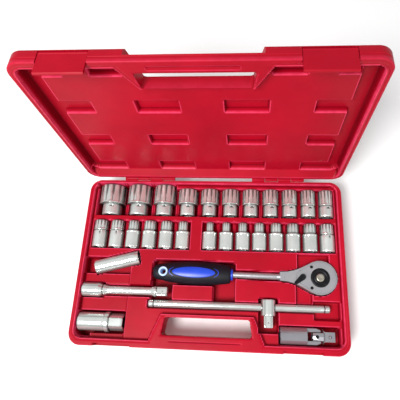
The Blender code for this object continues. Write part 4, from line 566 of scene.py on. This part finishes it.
def cutShell(name, shell, cutters):
    # Each cutter is taken out in turn, and the result kept as plain arrays
    body = plainMesh(name + "_raw", [shell])
    helpers = [body]
    for k, parts in enumerate(cutters):
        cutter = plainMesh(f"{name}_cut_{k}", parts)
        helpers.append(cutter)
        hole = body.modifiers.new(f"cut_{k}", "BOOLEAN")
        hole.operation = "DIFFERENCE"
        hole.solver = "EXACT"
        hole.object = cutter
    evaluated = body.evaluated_get(bpy.context.evaluated_depsgraph_get())
    mesh = bpy.data.meshes.new_from_object(evaluated)
    points = np.empty(len(mesh.vertices) * 3)
    mesh.vertices.foreach_get("co", points)
    faces = [tuple(p.vertices) for p in mesh.polygons]
    for helper in helpers:
        bpy.data.objects.remove(helper)
    bpy.data.meshes.remove(mesh)
    return points.reshape(-1, 3), faces


def rimRounding(height, distance, radius):
    # Falls by r - sqrt(r^2 - (r - d)^2) within r of an edge at distance d
    d = np.clip(distance, 0, radius)
    return height - (radius - np.sqrt(radius ** 2 - (radius - d) ** 2))


windowShape = [(-0.0635, -0.1058), (0.0635, -0.1058), (0.0595, -0.0815), (-0.0595, -0.0815)]


def knuckles(parity):
    # Barrels on the hinge line, five centimetres of them each side, every other one
    parts = []
    for side in (-1, 1):
        for i in range(4):
            if i % 2 == parity:
                middle = side * 0.100 + 0.020 * (i - 1.5)
                profile = filleted([(-0.0097, 0), (-0.0097, 0.0026), (0.0097, 0.0026), (0.0097, 0)], 0.0005)
                profile = np.maximum(profile, [-1, 1e-5])
                parts.append(tube(around(profile, (1, 0, 0), (middle, hingeY, hingeZ), 32)))
    return parts


def recessed(x, y, blockHalf, blockEnd):
    # Distance to the case's recess, and to what the block round the window leaves of it
    recess = boxDistance(x, y, -0.1875, 0.1875, -0.113, 0.118, caseLook["recessCorner"])
    block = polygonDistance(x, y, [(-0.081, -0.113), (-0.081, -0.130), (0.081, -0.130), (0.081, -0.113),
                                   (blockHalf, blockEnd), (-blockHalf, blockEnd)])
    return recess, np.maximum(recess, -block)


def roundEdges(z, x, y, windowRadius):
    # The window's edge and the rim's outer edge
    z = rimRounding(z, polygonDistance(x, y, windowShape) + 0.0002, windowRadius)
    corner = boxDistance(x, y, -halfX, halfX, -halfY, halfY, caseLook["corner"])
    return rimRounding(z, -corner, caseLook["rimFillet"])


def baseHeight(x, y):
    draft, top = caseLook["wallDraft"], rimZ + 0.0005
    recess, inside = recessed(x, y, 0.066, -0.077)
    z = np.full(x.shape, rimZ)
    z = pressed(z, inside, 0.038, rimZ, draft)
    # The rim carries a fine step where the lid's lip lands
    z -= 0.0005 * softStep((0.0042 - inside) / 0.0008) * (inside > 0)
    flat = [(-0.0882, 0.1728, -0.06955, -0.05705, 0.02775), (0.0721, 0.0993, -0.0983, -0.0510, 0.0229),
            (-0.1875, -0.1545, -0.0575, -0.0355, 0.0245), (-0.1655, -0.0585, -0.0547, -0.0383, 0.0273),
            (-0.1875, -0.1195, -0.106, -0.076, 0.0165), (0.1002, 0.1839, -0.112, -0.087, 0.0215),
            (-0.1875, -0.118, -0.113, 0.001, 0.034), (-0.1875, -0.118, -0.0222, 0.001, 0.0239),
            (-0.1875, -0.168, -0.111, -0.091, 0.0165), (-0.0850, -0.0530, -0.05805, -0.0207, 0.019),
            (0.0062, 0.0382, -0.05805, -0.0207, 0.019), (0.1277, 0.1732, -0.0207, 0.0135, 0.030),
            (0.1247, 0.1472, -0.05805, -0.0207, 0.030), (0.1483, 0.1858, -0.0780, -0.0533, 0.02775)]
    for x0, x1, y0, y1, floor in flat:
        distance = np.maximum(boxDistance(x, y, x0, x1, y0, y1, 0.002), recess)
        z = pressed(z, distance, floor, top, draft)
    # Ratchet: round head, drive, shaft and grip, turned with the tool
    t = math.radians(-0.72)
    u = (x - 0.1587) * math.cos(t) + (y + 0.0207) * math.sin(t)
    v = -(x - 0.1587) * math.sin(t) + (y + 0.0207) * math.cos(t)
    arc = np.radians(np.linspace(-118, 118, 25))
    r = 0.02485
    s = np.linspace(0, 1, 7)[1:, None]
    lean = np.radians(118)
    p0 = r * np.array([math.cos(lean), math.sin(lean)])
    p1 = p0 + 0.018 * np.array([-math.sin(lean), math.cos(lean)])
    p3 = np.array([-0.0567, 0.0070])
    p2 = p3 + np.array([0.020, 0])
    side = (1 - s) ** 3 * p0 + 3 * s * (1 - s) ** 2 * p1 + 3 * s * s * (1 - s) * p2 + s ** 3 * p3
    head = [(r * math.cos(a), r * math.sin(a)) for a in arc] + [tuple(p) for p in side]
    head += [(p[0], -p[1]) for p in side[::-1]]
    z = pressed(z, polygonDistance(u, v, head), 0.0215, top, draft)
    z = pressed(z, np.hypot(u, v) - 0.0105, 0.0055, top, draft)
    z = pressed(z, boxDistance(u, v, -0.122, -0.0517, -0.0065, 0.0065, 0.001), 0.027, top, draft)
    z = pressed(z, boxDistance(u, v, -0.2437, -0.1205, -0.018, 0.018, 0.006), 0.019, top, draft)
    # Small plug socket, turned a little
    t = math.radians(14.6)
    px, py = -0.13925 - 0.033 * math.cos(t), -0.00585 - 0.033 * math.sin(t)
    u = (x - px) * math.cos(t) + (y - py) * math.sin(t)
    v = -(x - px) * math.sin(t) + (y - py) * math.cos(t)
    z = pressed(z, boxDistance(u, v, -0.0015, 0.0675, -0.0113, 0.0113, 0.002), 0.0239, top, draft)
    # Each socket lies in a trough: z = axis - sqrt(r^2 - dx^2), with low ridges between neighbours
    tools = []
    for name in frame["nodes"]:
        if name.startswith("socket_"):
            lo, hi, middle = boxOf(name)
            tools.append((middle.x, lo.y, hi.y, (hi.x - lo.x) / 2, middle.z))
    tools.sort(key=lambda tool: (tool[1] > 0.04, tool[0]))
    for cx, y0, y1, radius, axis in tools:
        r = radius + 0.001
        dx = np.abs(x - cx)
        trough = axis - np.sqrt(np.maximum(r * r - dx * dx, 0))
        trough += (top - axis) * softStep((dx - r) / draft + 0.5)
        ends = np.maximum(y0 - 0.0015 - y, y - y1 - 0.0015)
        floor = axis - r
        trough = np.maximum(trough, floor + (top - floor) * softStep(ends / draft + 0.5))
        z = np.minimum(z, trough)
    for one, two in zip(tools, tools[1:]):
        between = two[0] - one[0] - one[3] - two[3]
        if abs(one[1] - two[1]) < 0.002 and 0 < between < 0.010:
            distance = boxDistance(x, y, one[0], two[0], one[1] - 0.0015, min(one[2], two[2]) + 0.0015, 0.0)
            z = pressed(z, distance, min(one[4], two[4]) - 0.0045, top, draft)
    # Handle bar: shallow slot, and its edges rounded towards the window
    z = pressed(z, boxDistance(x, y, -0.050, 0.048, -0.11415, -0.11285, 0.0005), rimZ - 0.0012, rimZ, 0.0006)
    return roundEdges(z, x, y, 0.0016)


def edgeOf(points, heightOf, top):
    # Convex edges are positive and creases negative: H minus the mean of H a step away each way; the case
    # uses it for a painted highlight on convex edges and painted shade in creases
    reach = 0.0011
    x, y = points[:, 0], points[:, 1]
    around = sum(heightOf(x + a * reach, y + b * reach) for a, b in ((1, 0), (-1, 0), (0, 1), (0, -1))) / 4
    here = heightOf(x, y)
    bend = np.clip((here - around) / 0.0007, -1, 1)
    nearRim = boxDistance(x, y, -halfX + 0.0015, halfX - 0.0015, -halfY + 0.0015, halfY - 0.0015, 0.0165) < 0
    # Off the height field, points above top get a weak painted highlight
    return np.where(nearRim & (np.abs(points[:, 2] - here) < 0.0004), bend, 0.25 * (points[:, 2] > top))


def latchNotches(z0, z1):
    return [boxMesh(s * 0.132 - 0.0266, s * 0.132 + 0.0266, -0.140, -0.119, z0, z1) for s in (-1, 1)]


def buildBase():
    look = caseLook
    xs = gridLines(halfX, 0.0090, look["fine"], look["step"])
    ys = gridLines(halfY, 0.0060, look["fine"], look["step"],
                   (-0.1146, -0.1143, -0.1140, -0.1135, -0.1130, -0.1127, -0.1124))
    walls = [(0.0, 0.0435), (0.0, 0.0400), (look["groove"], 0.0396), (look["groove"], 0.0388), (0.0, 0.0384),
             (0.0, 0.0240), (0.0, 0.0060), (0.0, 0.0034), (0.0003, 0.0026), (0.0026, 0.0003), (0.0034, 0.0)]
    cap = [(0.0048, 0.0), (0.0130, 0.0), (0.0142, 0.0012), (0.0155, 0.0012)]
    shell = shellParts(xs, ys, baseHeight, walls, cap)
    outline = arcCorners(windowShape, 0.004)
    latches = latchNotches(0.0324, 0.060)
    cutters = [[prismMesh(outline, -0.010, 0.060)] + latches,
               [boxMesh(-0.0705, 0.0705, -0.140, -0.0792, -0.010, 0.018)]]
    vertices, faces = cutShell("base", shell, cutters)
    parts = [(vertices, faces)] + knuckles(0)
    parts += [boxMesh(x - 0.0097, x + 0.0097, halfY - 0.002, hingeY, rimZ - 0.0032, rimZ - 0.0002)
              for s in (-1, 1) for x in (s * 0.100 - 0.030, s * 0.100 + 0.010)]
    makePiece("case_base", parts, "base", "case_plastic", ["base_shell"], sharp=50,
              edge=edgeOf(vertices, baseHeight, rimZ - 0.003))
    print("base pressed:", len(xs), "x", len(ys))


def lidHeight(x, y):
    # Heights below the rim, which is 0: the panel at -10 mm, channels and pockets at -17.2 mm
    look = caseLook
    draft = look["wallDraft"]
    recess, inside = recessed(x, y, 0.0617, -0.0804)
    lower = boxDistance(x, y, -0.1875, 0.1875, -0.113, 0.109, look["recessCorner"])
    z = pressed(np.zeros(x.shape), inside, -0.010, 0.0, draft)
    # The back wall leans in by 9 mm on the way down
    slope = np.clip((y - 0.109) / 0.009, 0, 1) * (recess < 0.001)
    z = np.maximum(z, np.where(recess < 0.0005, -0.010 + 0.010 * slope, z))
    # A fine bead runs round the rim
    z = z - 0.0006 * np.exp(-((inside - 0.0036) / 0.0007) ** 2) * (inside > 0)
    flat = [(-0.1875, -0.170, -0.113, 0.109), (0.170, 0.1875, -0.113, 0.109)]
    for row in range(3):
        for column in range(4):
            px, py = (column - 1.5) * 0.1056, halfY - 0.0245 - 0.0693 * row
            flat.append((px - 0.0265, px + 0.0265, py - 0.0115, py + 0.0115))
    flat += [(-0.171, -0.146, -0.109, -0.092), (-0.116, -0.079, -0.109, -0.092),
             (0.079, 0.116, -0.109, -0.092), (0.146, 0.171, -0.109, -0.092)]
    for x0, x1, y0, y1 in flat:
        distance = np.maximum(boxDistance(x, y, x0, x1, y0, y1, 0.002), lower + 0.0002)
        z = pressed(z, distance, -0.0172, 0.0005, draft)
    z = pressed(z, boxDistance(x, y, -0.048, 0.047, -0.1150, -0.1105, 0.0020), -0.0012, 0.0, 0.0008)
    return roundEdges(z, x, y, 0.0014)


def openLid(points):
    # From heights below the closed lid's rim to the open lid's place
    a = points[:, 1] - hingeY
    b = (rimZ + 0.0003 - points[:, 2]) - hingeZ
    y = hingeY + a * math.cos(lidTurn) - b * math.sin(lidTurn)
    z = hingeZ + a * math.sin(lidTurn) + b * math.cos(lidTurn)
    return np.stack([points[:, 0], y, z], 1)


def buildLid():
    look = caseLook
    xs = gridLines(halfX, 0.0090, look["fine"], 0.0014)
    ys = gridLines(halfY, 0.0060, look["fine"], 0.0014, (0.1075, 0.1085, 0.1095, 0.1175, 0.1183))
    walls = [(0.0, -0.0024), (0.0, -0.0060), (look["groove"], -0.0064), (look["groove"], -0.0072),
             (0.0, -0.0076), (0.0, -0.0163), (0.0003, -0.0171), (0.0026, -0.0194), (0.0034, -0.0197)]
    cap = [(0.0048, -0.0197), (0.0150, -0.0197), (0.0162, -0.0189), (0.0175, -0.0189)]
    shell = shellParts(xs, ys, lidHeight, walls, cap)
    outline = arcCorners(windowShape, 0.004)
    latches = latchNotches(-0.0158, 0.010)
    step = [(-0.0705, -0.140), (0.0705, -0.140), (0.0705, -0.123), (0.0595, -0.0826), (-0.0595, -0.0826),
            (-0.0705, -0.123)]
    cutters = [[prismMesh(outline, -0.040, 0.010)] + latches, [prismMesh(step, -0.040, -0.0090)]]
    vertices, faces = cutShell("lid", shell, cutters)
    parts = [(openLid(vertices), faces)] + knuckles(1)
    web = [boxMesh(x - 0.0097, x + 0.0097, halfY - 0.002, hingeY, -0.0034, -0.0002)
           for s in (-1, 1) for x in (s * 0.100 - 0.010, s * 0.100 + 0.030)]
    parts += [(openLid(points), faces) for points, faces in web]
    makePiece("case_lid", parts, "lid", "case_plastic", ["lid_shell"], sharp=50,
              edge=edgeOf(vertices, lidHeight, -0.003))
    print("lid pressed:", len(xs), "x", len(ys))


buildBase()
buildLid()


# ---- bars, plug sockets and joint: turned profiles with square, round or six-sided sections
toolLook = dict(drive=0.0127, sides=96, barGroove=0.0004, neck=0.0058, barRing=0.0068, sharp=35,
                smallTurn=14.6)


def sectioned(stations, axis, start, sides=toolLook["sides"]):
    # Stations (along, radius, corners): round, or across the flats of a square or hexagon
    angle = np.linspace(0, 2 * math.pi, sides, endpoint=False)
    along = np.array([s[0] for s in stations])[:, None] * np.ones(sides)
    radius = np.array([s[1] for s in stations])[:, None] * np.ones(sides)
    for k, (_, across, corners) in enumerate(stations):
        if corners:
            radius[k] = np.minimum(polygonRadius(angle, across, corners), 0.645 * across)
    axis = np.array(axis, float)
    side = np.cross((0, 0, 1), axis)
    side = side / np.linalg.norm(side)
    spoke = np.cos(angle)[:, None] * np.array((0, 0, 1.0)) + np.sin(angle)[:, None] * side
    points = np.array(start) + along[..., None] * axis + radius[..., None] * spoke[None]
    return points, np.abs(np.sin(angle))[None, :] * np.ones(radius.shape)


def squareEnd(first, length, d):
    # Stations of a square drive from first to its chamfered end
    sides = [(a, d, 4) for a in np.linspace(first + 0.002, length - 0.0012, 6)]
    return sides + [(length - 0.0004, d - 0.0006, 4), (length, d - 0.0018, 4), (length, 1e-5, 0)]


def flankShade(flank, extra):
    # Painted shade on the lower flanks, a painted dark reflection stripe along each side, and more painted
    # shade where a station asks for it
    band = np.exp(-((flank - 0.50) / 0.07) ** 2) * 0.5
    return np.clip(softStep((flank - 0.72) / 0.3) * 0.65 + band + np.array(extra)[:, None], 0, 1).ravel()


def teeBar():
    lo, hi, middle = boxOf("tee_bar")
    r, length, groove = (hi.y - lo.y) / 2, hi.x - lo.x, toolLook["barGroove"]
    stations = turned((0, 1e-5), (0, r - 0.0014), (0.0004, r - 0.0006), (0.0014, r), (0.0065, r),
                      (0.0070, r - groove), (0.0080, r - groove), (0.0085, r))
    stations += [(a, r, 0) for a in np.linspace(0.012, length - 0.014, 24)]
    stations += [(length - s[0], s[1], 0) for s in stations[7::-1]]
    points, flank = sectioned(stations, (1, 0, 0), (lo.x, middle.y, middle.z), 64)
    # Painted shade in the grooves near each end
    extra = [0.9 if abs(s[1] - r + groove) < 1e-6 else 0.0 for s in stations]
    makePiece("tee_bar_skin", [tube(points, capped=False)], "tee", "polished_chrome", ["tee_bar"],
              None, 40, flankShade(flank, extra))


def teeHead():
    lo, hi, middle = boxOf("tee_head")
    r = (hi.x - lo.x) / 2
    length, d = hi.y - lo.y, toolLook["drive"]
    body = length - 0.016
    stations = turned((0, 1e-5), (0, r - 0.0012), (0.0004, r - 0.0004), (0.0012, r))
    stations += [(a, r, 0) for a in np.linspace(0.003, body - 0.0022, 10)]
    stations += [(body - 0.0012, r, 0), (body - 0.0003, r - 0.0004, 0), (body, r - 0.0014, 0),
                 (body, d * 0.56, 0), (body + 0.0006, d, 4)]
    stations += squareEnd(body, length, d)
    points, flank = sectioned(stations, (0, -1, 0), (middle.x, hi.y, middle.z))
    # Painted shade at the step down to the square
    extra = [0.7 if s[1] == d * 0.56 else 0.0 for s in stations]
    collars = []
    barMiddle = boxOf("tee_bar")[2]
    ring = turned((0, 0.0054), (0, toolLook["barRing"]), (0.0008, 0.0066), (0.0009, 0.0054))
    for side in (-1, 1):
        # A ring painted with shade where the bar leaves the head on each side
        start = (middle.x + side * (r - 0.0012), barMiddle.y, middle.z)
        rim, _ = sectioned(ring, (side, 0, 0), start, 48)
        collars.append(tube(rim, closed=True))
    shade = flankShade(flank, extra)
    shade = np.concatenate([shade, np.full(sum(len(c[0]) for c in collars), 0.85)])
    makePiece("tee_head_skin", [tube(points, capped=False)] + collars, "sliding_head", "polished_chrome",
              ["tee_head"], None, toolLook["sharp"], shade)


def extensionBar():
    lo, hi, middle = boxOf("extension_bar")
    r, length, d = (hi.y - lo.y) / 2, hi.x - lo.x, toolLook["drive"]
    thin, square = toolLook["neck"], length - 0.015
    stations = [(0.0150, 1e-5, 0), (0.0150, d, 4), (0.0080, d, 4), (0.0014, d, 4), (0.0004, d + 0.0008, 4),
                (0.0, d + 0.0012, 4), (0.0, r - 0.0012, 0), (0.0004, r - 0.0004, 0), (0.0012, r, 0)]
    stations += [(a, r, 0) for a in np.linspace(0.003, 0.0235, 8)]
    stations += turned((0.0250, r - 0.0001), (0.0262, r - 0.0007), (0.0290, 0.0082), (0.0300, 0.0070),
                       (0.0306, 0.0069), (0.0312, 0.0078), (0.0330, 0.0074), (0.0360, 0.0064),
                       (0.0400, 0.0059))
    stations += [(a, thin, 0) for a in np.linspace(0.045, square - 0.010, 12)]
    stations += turned((square - 0.0075, thin + 0.0004), (square - 0.0050, thin + 0.0014),
                       (square - 0.0026, thin + 0.0020), (square - 0.0012, thin + 0.0020),
                       (square - 0.0004, d * 0.54))
    stations += [(square + 0.0004, d, 4)] + squareEnd(square, length, d)
    points, flank = sectioned(stations, (1, 0, 0), (lo.x, middle.y, middle.z))
    # Painted shade in the ring's groove, at the step down to the square and in the square bore
    extra = [0.85 if 0.0295 < s[0] < 0.0310 or s[1] == d * 0.54 or s[0] < 0.0151 and s[2] == 4 else 0.0
             for s in stations]
    makePiece("extension_skin", [tube(points, capped=False)], "extension", "polished_chrome",
              ["extension_bar"], None, toolLook["sharp"], flankShade(flank, extra))


def plugSocket(node, body, axis, start, outer, length, size, collar=None, hexagon=None):
    d = toolLook["drive"]
    if hexagon:
        # Here the hexagon to drive with is at the far end, and the plug goes in at the near one
        stations = [(0.0300, 1e-5, 0), (0.0300, size, 6), (0.0150, size, 6), (0.0020, size, 6),
                    (0.0006, size * 1.03, 6), (0.0, outer - 0.0011, 0), (0.0004, outer - 0.0003, 0),
                    (0.0012, outer, 0)]
        end = length - 0.026
        stations += [(a, outer, 0) for a in np.linspace(0.003, end - 0.0006, 10)]
        stations += [(end, outer + 0.0003, 0), (end + 0.0006, collar, 0), (end + 0.0048, collar, 0),
                     (end + 0.0056, collar - 0.0006, 0), (end + 0.0060, hexagon * 0.50, 0),
                     (end + 0.0064, hexagon, 6)]
        stations += [(a, hexagon, 6) for a in np.linspace(end + 0.008, length - 0.0018, 6)]
        stations += [(length - 0.0006, hexagon - 0.0008, 6), (length, hexagon - 0.0024, 6),
                     (length, d + 0.0012, 4), (length - 0.0006, d, 4), (length - 0.0150, d, 4),
                     (length - 0.0150, 1e-5, 0)]
        dark = [0.9 if s[2] == 6 and s[0] < 0.0301 and s[1] < hexagon * 1.1
                or s[1] == hexagon * 0.50 or s[2] == 4 else 0.0 for s in stations]
    else:
        stations = [(0.0150, 1e-5, 0), (0.0150, d, 4), (0.0080, d, 4), (0.0010, d, 4), (0.0, d + 0.0010, 4),
                    (0.0, outer - 0.0012, 0), (0.0004, outer - 0.0004, 0), (0.0012, outer, 0)]
        stations += [(a, outer, 0) for a in np.linspace(0.003, length - 0.0016, 14)]
        stations += [(length - 0.0005, outer - 0.0003, 0), (length, outer - 0.0010, 0),
                     (length, size / 2 * 1.10, 0), (length - 0.0008, size + 0.0010, 6),
                     (length - 0.0020, size, 6), (length - 0.0150, size, 6), (length - 0.0300, size, 6),
                     (length - 0.0300, 1e-5, 0)]
        dark = [0.9 if s[2] else 0.0 for s in stations]
    # The listed stations get painted shade: the bores, and in the hexagon plug the step before the outer
    # hexagon
    points, flank = sectioned(stations, axis, start)
    makePiece(node + "_skin", [tube(points, capped=False)], body, "polished_chrome",
              [node], None, toolLook["sharp"], flankShade(flank, dark))


def plugSockets():
    lo, hi, middle = boxOf("plug_socket_large")
    plugSocket("plug_socket_large", "plug_large", (1, 0, 0), (lo.x, middle.y, middle.z), 0.0128,
               hi.x - lo.x, 0.0208, 0.0140, 0.0200)
    middle = np.array(boxOf("plug_socket_small")[2])
    t = math.radians(toolLook["smallTurn"])
    axis = np.array([math.cos(t), math.sin(t), 0])
    plugSocket("plug_socket_small", "plug_small", axis, middle - 0.033 * axis, 0.0103, 0.066, 0.0160)


teeBar()
teeHead()
extensionBar()
plugSockets()
print("bars and plug sockets turned")


# ---- ratchet: swept grip with its inlay, drive ring and release button
gripLook = dict(turn=-0.72, start=-0.1277, length=0.1145, half=0.0170, height=0.0140, sides=96,
                hole=0.0072, eyelet=0.0158, padHalf=0.0325, padWide=0.0079, padPlace=0.05325,
                arcGap=0.0036, arcRise=0.0030, arcSpan=0.62, arcWidth=0.00055)


def ratchetFrame(points):
    # From the ratchet's own frame (its drive axis at the origin) to the tray
    t = math.radians(gripLook["turn"])
    centre = boxOf("release_button")[2]
    x = centre.x + points[..., 0] * math.cos(t) - points[..., 1] * math.sin(t)
    y = centre.y + points[..., 0] * math.sin(t) + points[..., 1] * math.cos(t)
    return np.stack([x, y, points[..., 2] + rimZ - 0.012], -1)


def gripHalf(share):
    # Half width: 0.72 at the shaft, swelling by a sine, and rounding off over the last sixth
    swell = 0.72 + 0.28 * np.sin(math.pi * np.clip(share * 1.15, 0, 1)) ** 0.7
    tail = np.sqrt(np.maximum(0, 1 - np.maximum(0, (share - 0.84) / 0.16) ** 2.4))
    return gripLook["half"] * swell * (0.5 + 0.5 * tail)


def gripTop(x, y):
    # Height of the grip's upper surface in the ratchet's frame: an ellipse at each station
    half = np.maximum(gripHalf((gripLook["start"] - x) / gripLook["length"]), 1e-4)
    return half * gripLook["height"] / gripLook["half"] * np.sqrt(np.maximum(0, 1 - (y / half) ** 2))


def ratchetPiece(name, parts, slot, nodes=()):
    makePiece(name, [(ratchetFrame(points), faces) for points, faces in parts], "ratchet", slot, nodes)


def ringProfile(start, end, inner, outer):
    return [(start, inner), (start, outer), (end, outer), (end, inner), (start, inner)]


def buildGrip():
    look = gripLook
    tail = 0.90 + 0.10 * np.sin(np.linspace(0.1, 1, 14) * math.pi / 2)
    share = np.concatenate([[0, 0, 0.004, 0.012], np.linspace(0.03, 0.90, 60), tail])
    size = gripHalf(share)
    size[:3] = size[:3] * np.array([0.35, 0.90, 0.97])
    size[-1] = size[-1] * 0.80
    a = np.linspace(0, 2 * math.pi, look["sides"], endpoint=False)
    half = size[:, None]
    along = (look["start"] - share * look["length"])[:, None] * np.ones(look["sides"])
    rings = np.stack([along, half * np.sin(a),
                      half * look["height"] / look["half"] * np.cos(a)], -1)
    hang = look["start"] - look["length"] + look["eyelet"]
    turns = np.linspace(0, 2 * math.pi, 48, endpoint=False)
    drill = [(hang + look["hole"] * math.cos(t), look["hole"] * math.sin(t)) for t in turns]
    drilled = cutShell("grip", tube(rings), [[prismMesh(drill, -0.03, 0.03)]])
    ratchetPiece("grip_skin", [drilled], "grip_rubber", ["ratchet_grip"])
    # Inlay: an oval pad that follows the grip's top, its edge sunk
    centre, longHalf, wideHalf = look["start"] - look["padPlace"], look["padHalf"], look["padWide"]
    rho = np.concatenate([[1e-4], np.linspace(0.1, 0.9, 12), [0.94, 0.97, 0.99, 1.0]])[:, None]
    u, v = centre + rho * longHalf * np.cos(a), rho * wideHalf * np.sin(a)
    upper = np.stack([u, v, gripTop(u, v) + 0.0004 - 0.0007 * softStep((rho - 0.93) / 0.07)], -1)
    lower = np.stack([u, v, gripTop(u, v) - 0.0020], -1)
    ratchetPiece("inlay_pad", [tube(np.concatenate([upper, lower[::-1]]))], "blue_inlay", ["grip_inlay"])
    # A thin arc follows each end of the inlay
    arcs = []
    for middle in (0.0, math.pi):
        t = np.linspace(-look["arcSpan"], look["arcSpan"], 40)
        width = look["arcWidth"] * np.cos(t / look["arcSpan"] * math.pi / 2) ** 0.5 + 0.00003
        rows = []
        for side, level in ((-1, -0.0012), (-1, 0.00012), (1, 0.00012), (1, -0.0012)):
            u = centre + (longHalf + look["arcGap"] + side * width) * np.cos(t + middle)
            v = (wideHalf + look["arcRise"] + side * width) * np.sin(t + middle)
            rows.append(np.stack([u, v, gripTop(u, v) + level], -1))
        arcs.append(tube(np.stack(rows, 1)))
    ratchetPiece("inlay_arcs", arcs, "blue_inlay")
    # Eyelet: a rounded bush through the hanging hole
    profile = filleted(ringProfile(-0.0092, 0.0092, 0.0042, 0.0069), 0.0008)
    bush = tube(around(profile, (0, 0, 1), (hang, 0, 0.0010), 64), closed=True)
    ratchetPiece("eyelet_bush", [bush], "eyelet_plastic", ["hang_eyelet"])
    # Ring at the grip's mouth
    profile = filleted(ringProfile(0.0, 0.0030, 0.0050, 0.0084), 0.0006)
    band = tube(around(profile, (1, 0, 0), (look["start"] + 0.0003, 0, 0), 72), closed=True)
    ratchetPiece("mouth_ring", [band], "blue_inlay", ["grip_ring"])


def driveRing():
    _, hi, middle = boxOf("drive_gear")
    profile = np.array([(0, 0.0062), (0.0006, 0.0060), (0.0009, 0.0064), (0.0009, 0.0080), (0.0006, 0.0085),
                        (0.0009, 0.0090), (0.0009, 0.0124), (0.0006, 0.0130), (0, 0.0131)])
    profile[:, 0] += hi.z - 0.0004
    band = around(profile, (0, 0, 1), (middle.x, middle.y, 0), 96)
    makePiece("drive_ring", [tube(band, closed=True)], "drive", "dark_steel")
    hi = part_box("release_button")[1]
    crown = np.array([(-0.0030, 1e-5), (-0.0030, 0.0057), (-0.0012, 0.0058), (-0.0006, 0.0056),
                      (-0.0002, 0.0050), (0, 0.0042), (-0.0001, 0.0030), (-0.0004, 0.0012), (-0.0005, 1e-5)])
    crown[:, 0] += hi.z
    dome = tube(around(crown, (0, 0, 1), (middle.x, middle.y, 0), 72), capped=False)
    cap = makePiece("button_cap", [dome], "button", "satin_chrome", ["release_button"])
    cap.data.materials[0] = finishes["warm_steel"]


buildGrip()
driveRing()
print("ratchet dressed")


# ---- carried-over parts of the frame take the same finishes
for node in frame["nodes"].values():
    named = node.data.materials[0].name.split(".")[0] if node.data.materials else ""
    for subpart in frame["record"]["subparts"]:
        if subpart["node"] == node.name:
            named = subpart["material_slot"]
    if node.name in ("joint_socket_yoke", "joint_drive_yoke"):
        named = "mirror_chrome"
    if not node.material_slots:
        node.data.materials.append(finishes[named])
    for holder in node.material_slots:
        holder.material = finishes[named]
print("finishes placed")


# ---- floor, camera and light
room = dict(floorHalf=4.0, keyPower=23.0, keySize=0.6, fillPower=3.0, fillSize=1.2, sky=0.55)
view = dict(lens=33.56, sensor=36, shift=(-0.0563, -0.011), place=(0.0579, -0.0828, 0.589),
            turn=(18.62, 3.76, 2.13))


def addFloor():
    mesh = bpy.data.meshes.new("floor")
    h = room["floorHalf"]
    mesh.from_pydata([(-h, -h, 0), (h, -h, 0), (h, h, 0), (-h, h, 0)], [], [(0, 1, 2, 3)])
    mesh.materials.append(makeFloor())
    floor = bpy.data.objects.new("floor", mesh)
    scene.collection.objects.link(floor)


def addLight(name, place, target, power, size):
    lamp = bpy.data.lights.new(name, "AREA")
    lamp.shape = "DISK"
    lamp.size = size
    lamp.energy = power
    holder = bpy.data.objects.new(name, lamp)
    holder.location = place
    aim = Vector(target) - Vector(place)
    holder.rotation_euler = aim.to_track_quat("-Z", "Y").to_euler()
    scene.collection.objects.link(holder)


addFloor()
addLight("key", (-0.45, -0.55, 1.30), (0, 0.05, 0.08), room["keyPower"], room["keySize"])
addLight("fill", (0.9, -0.7, 1.2), (0, 0.0, 0.05), room["fillPower"], room["fillSize"])

world = bpy.data.worlds.new("studio")
world.use_nodes = True
sky = world.node_tree.nodes["Background"]
sky.inputs["Color"].default_value = (1.0, 1.0, 1.0, 1)
sky.inputs["Strength"].default_value = room["sky"]
scene.world = world
scene.view_settings.view_transform = "Standard"

lens = bpy.data.cameras.new("camera")
lens.lens = view["lens"]
lens.sensor_width = view["sensor"]
lens.shift_x, lens.shift_y = view["shift"]
camera = bpy.data.objects.new("camera", lens)
camera.location = view["place"]
camera.rotation_euler = tuple(math.radians(a) for a in view["turn"])
scene.collection.objects.link(camera)
scene.camera = camera
print("camera and light placed")
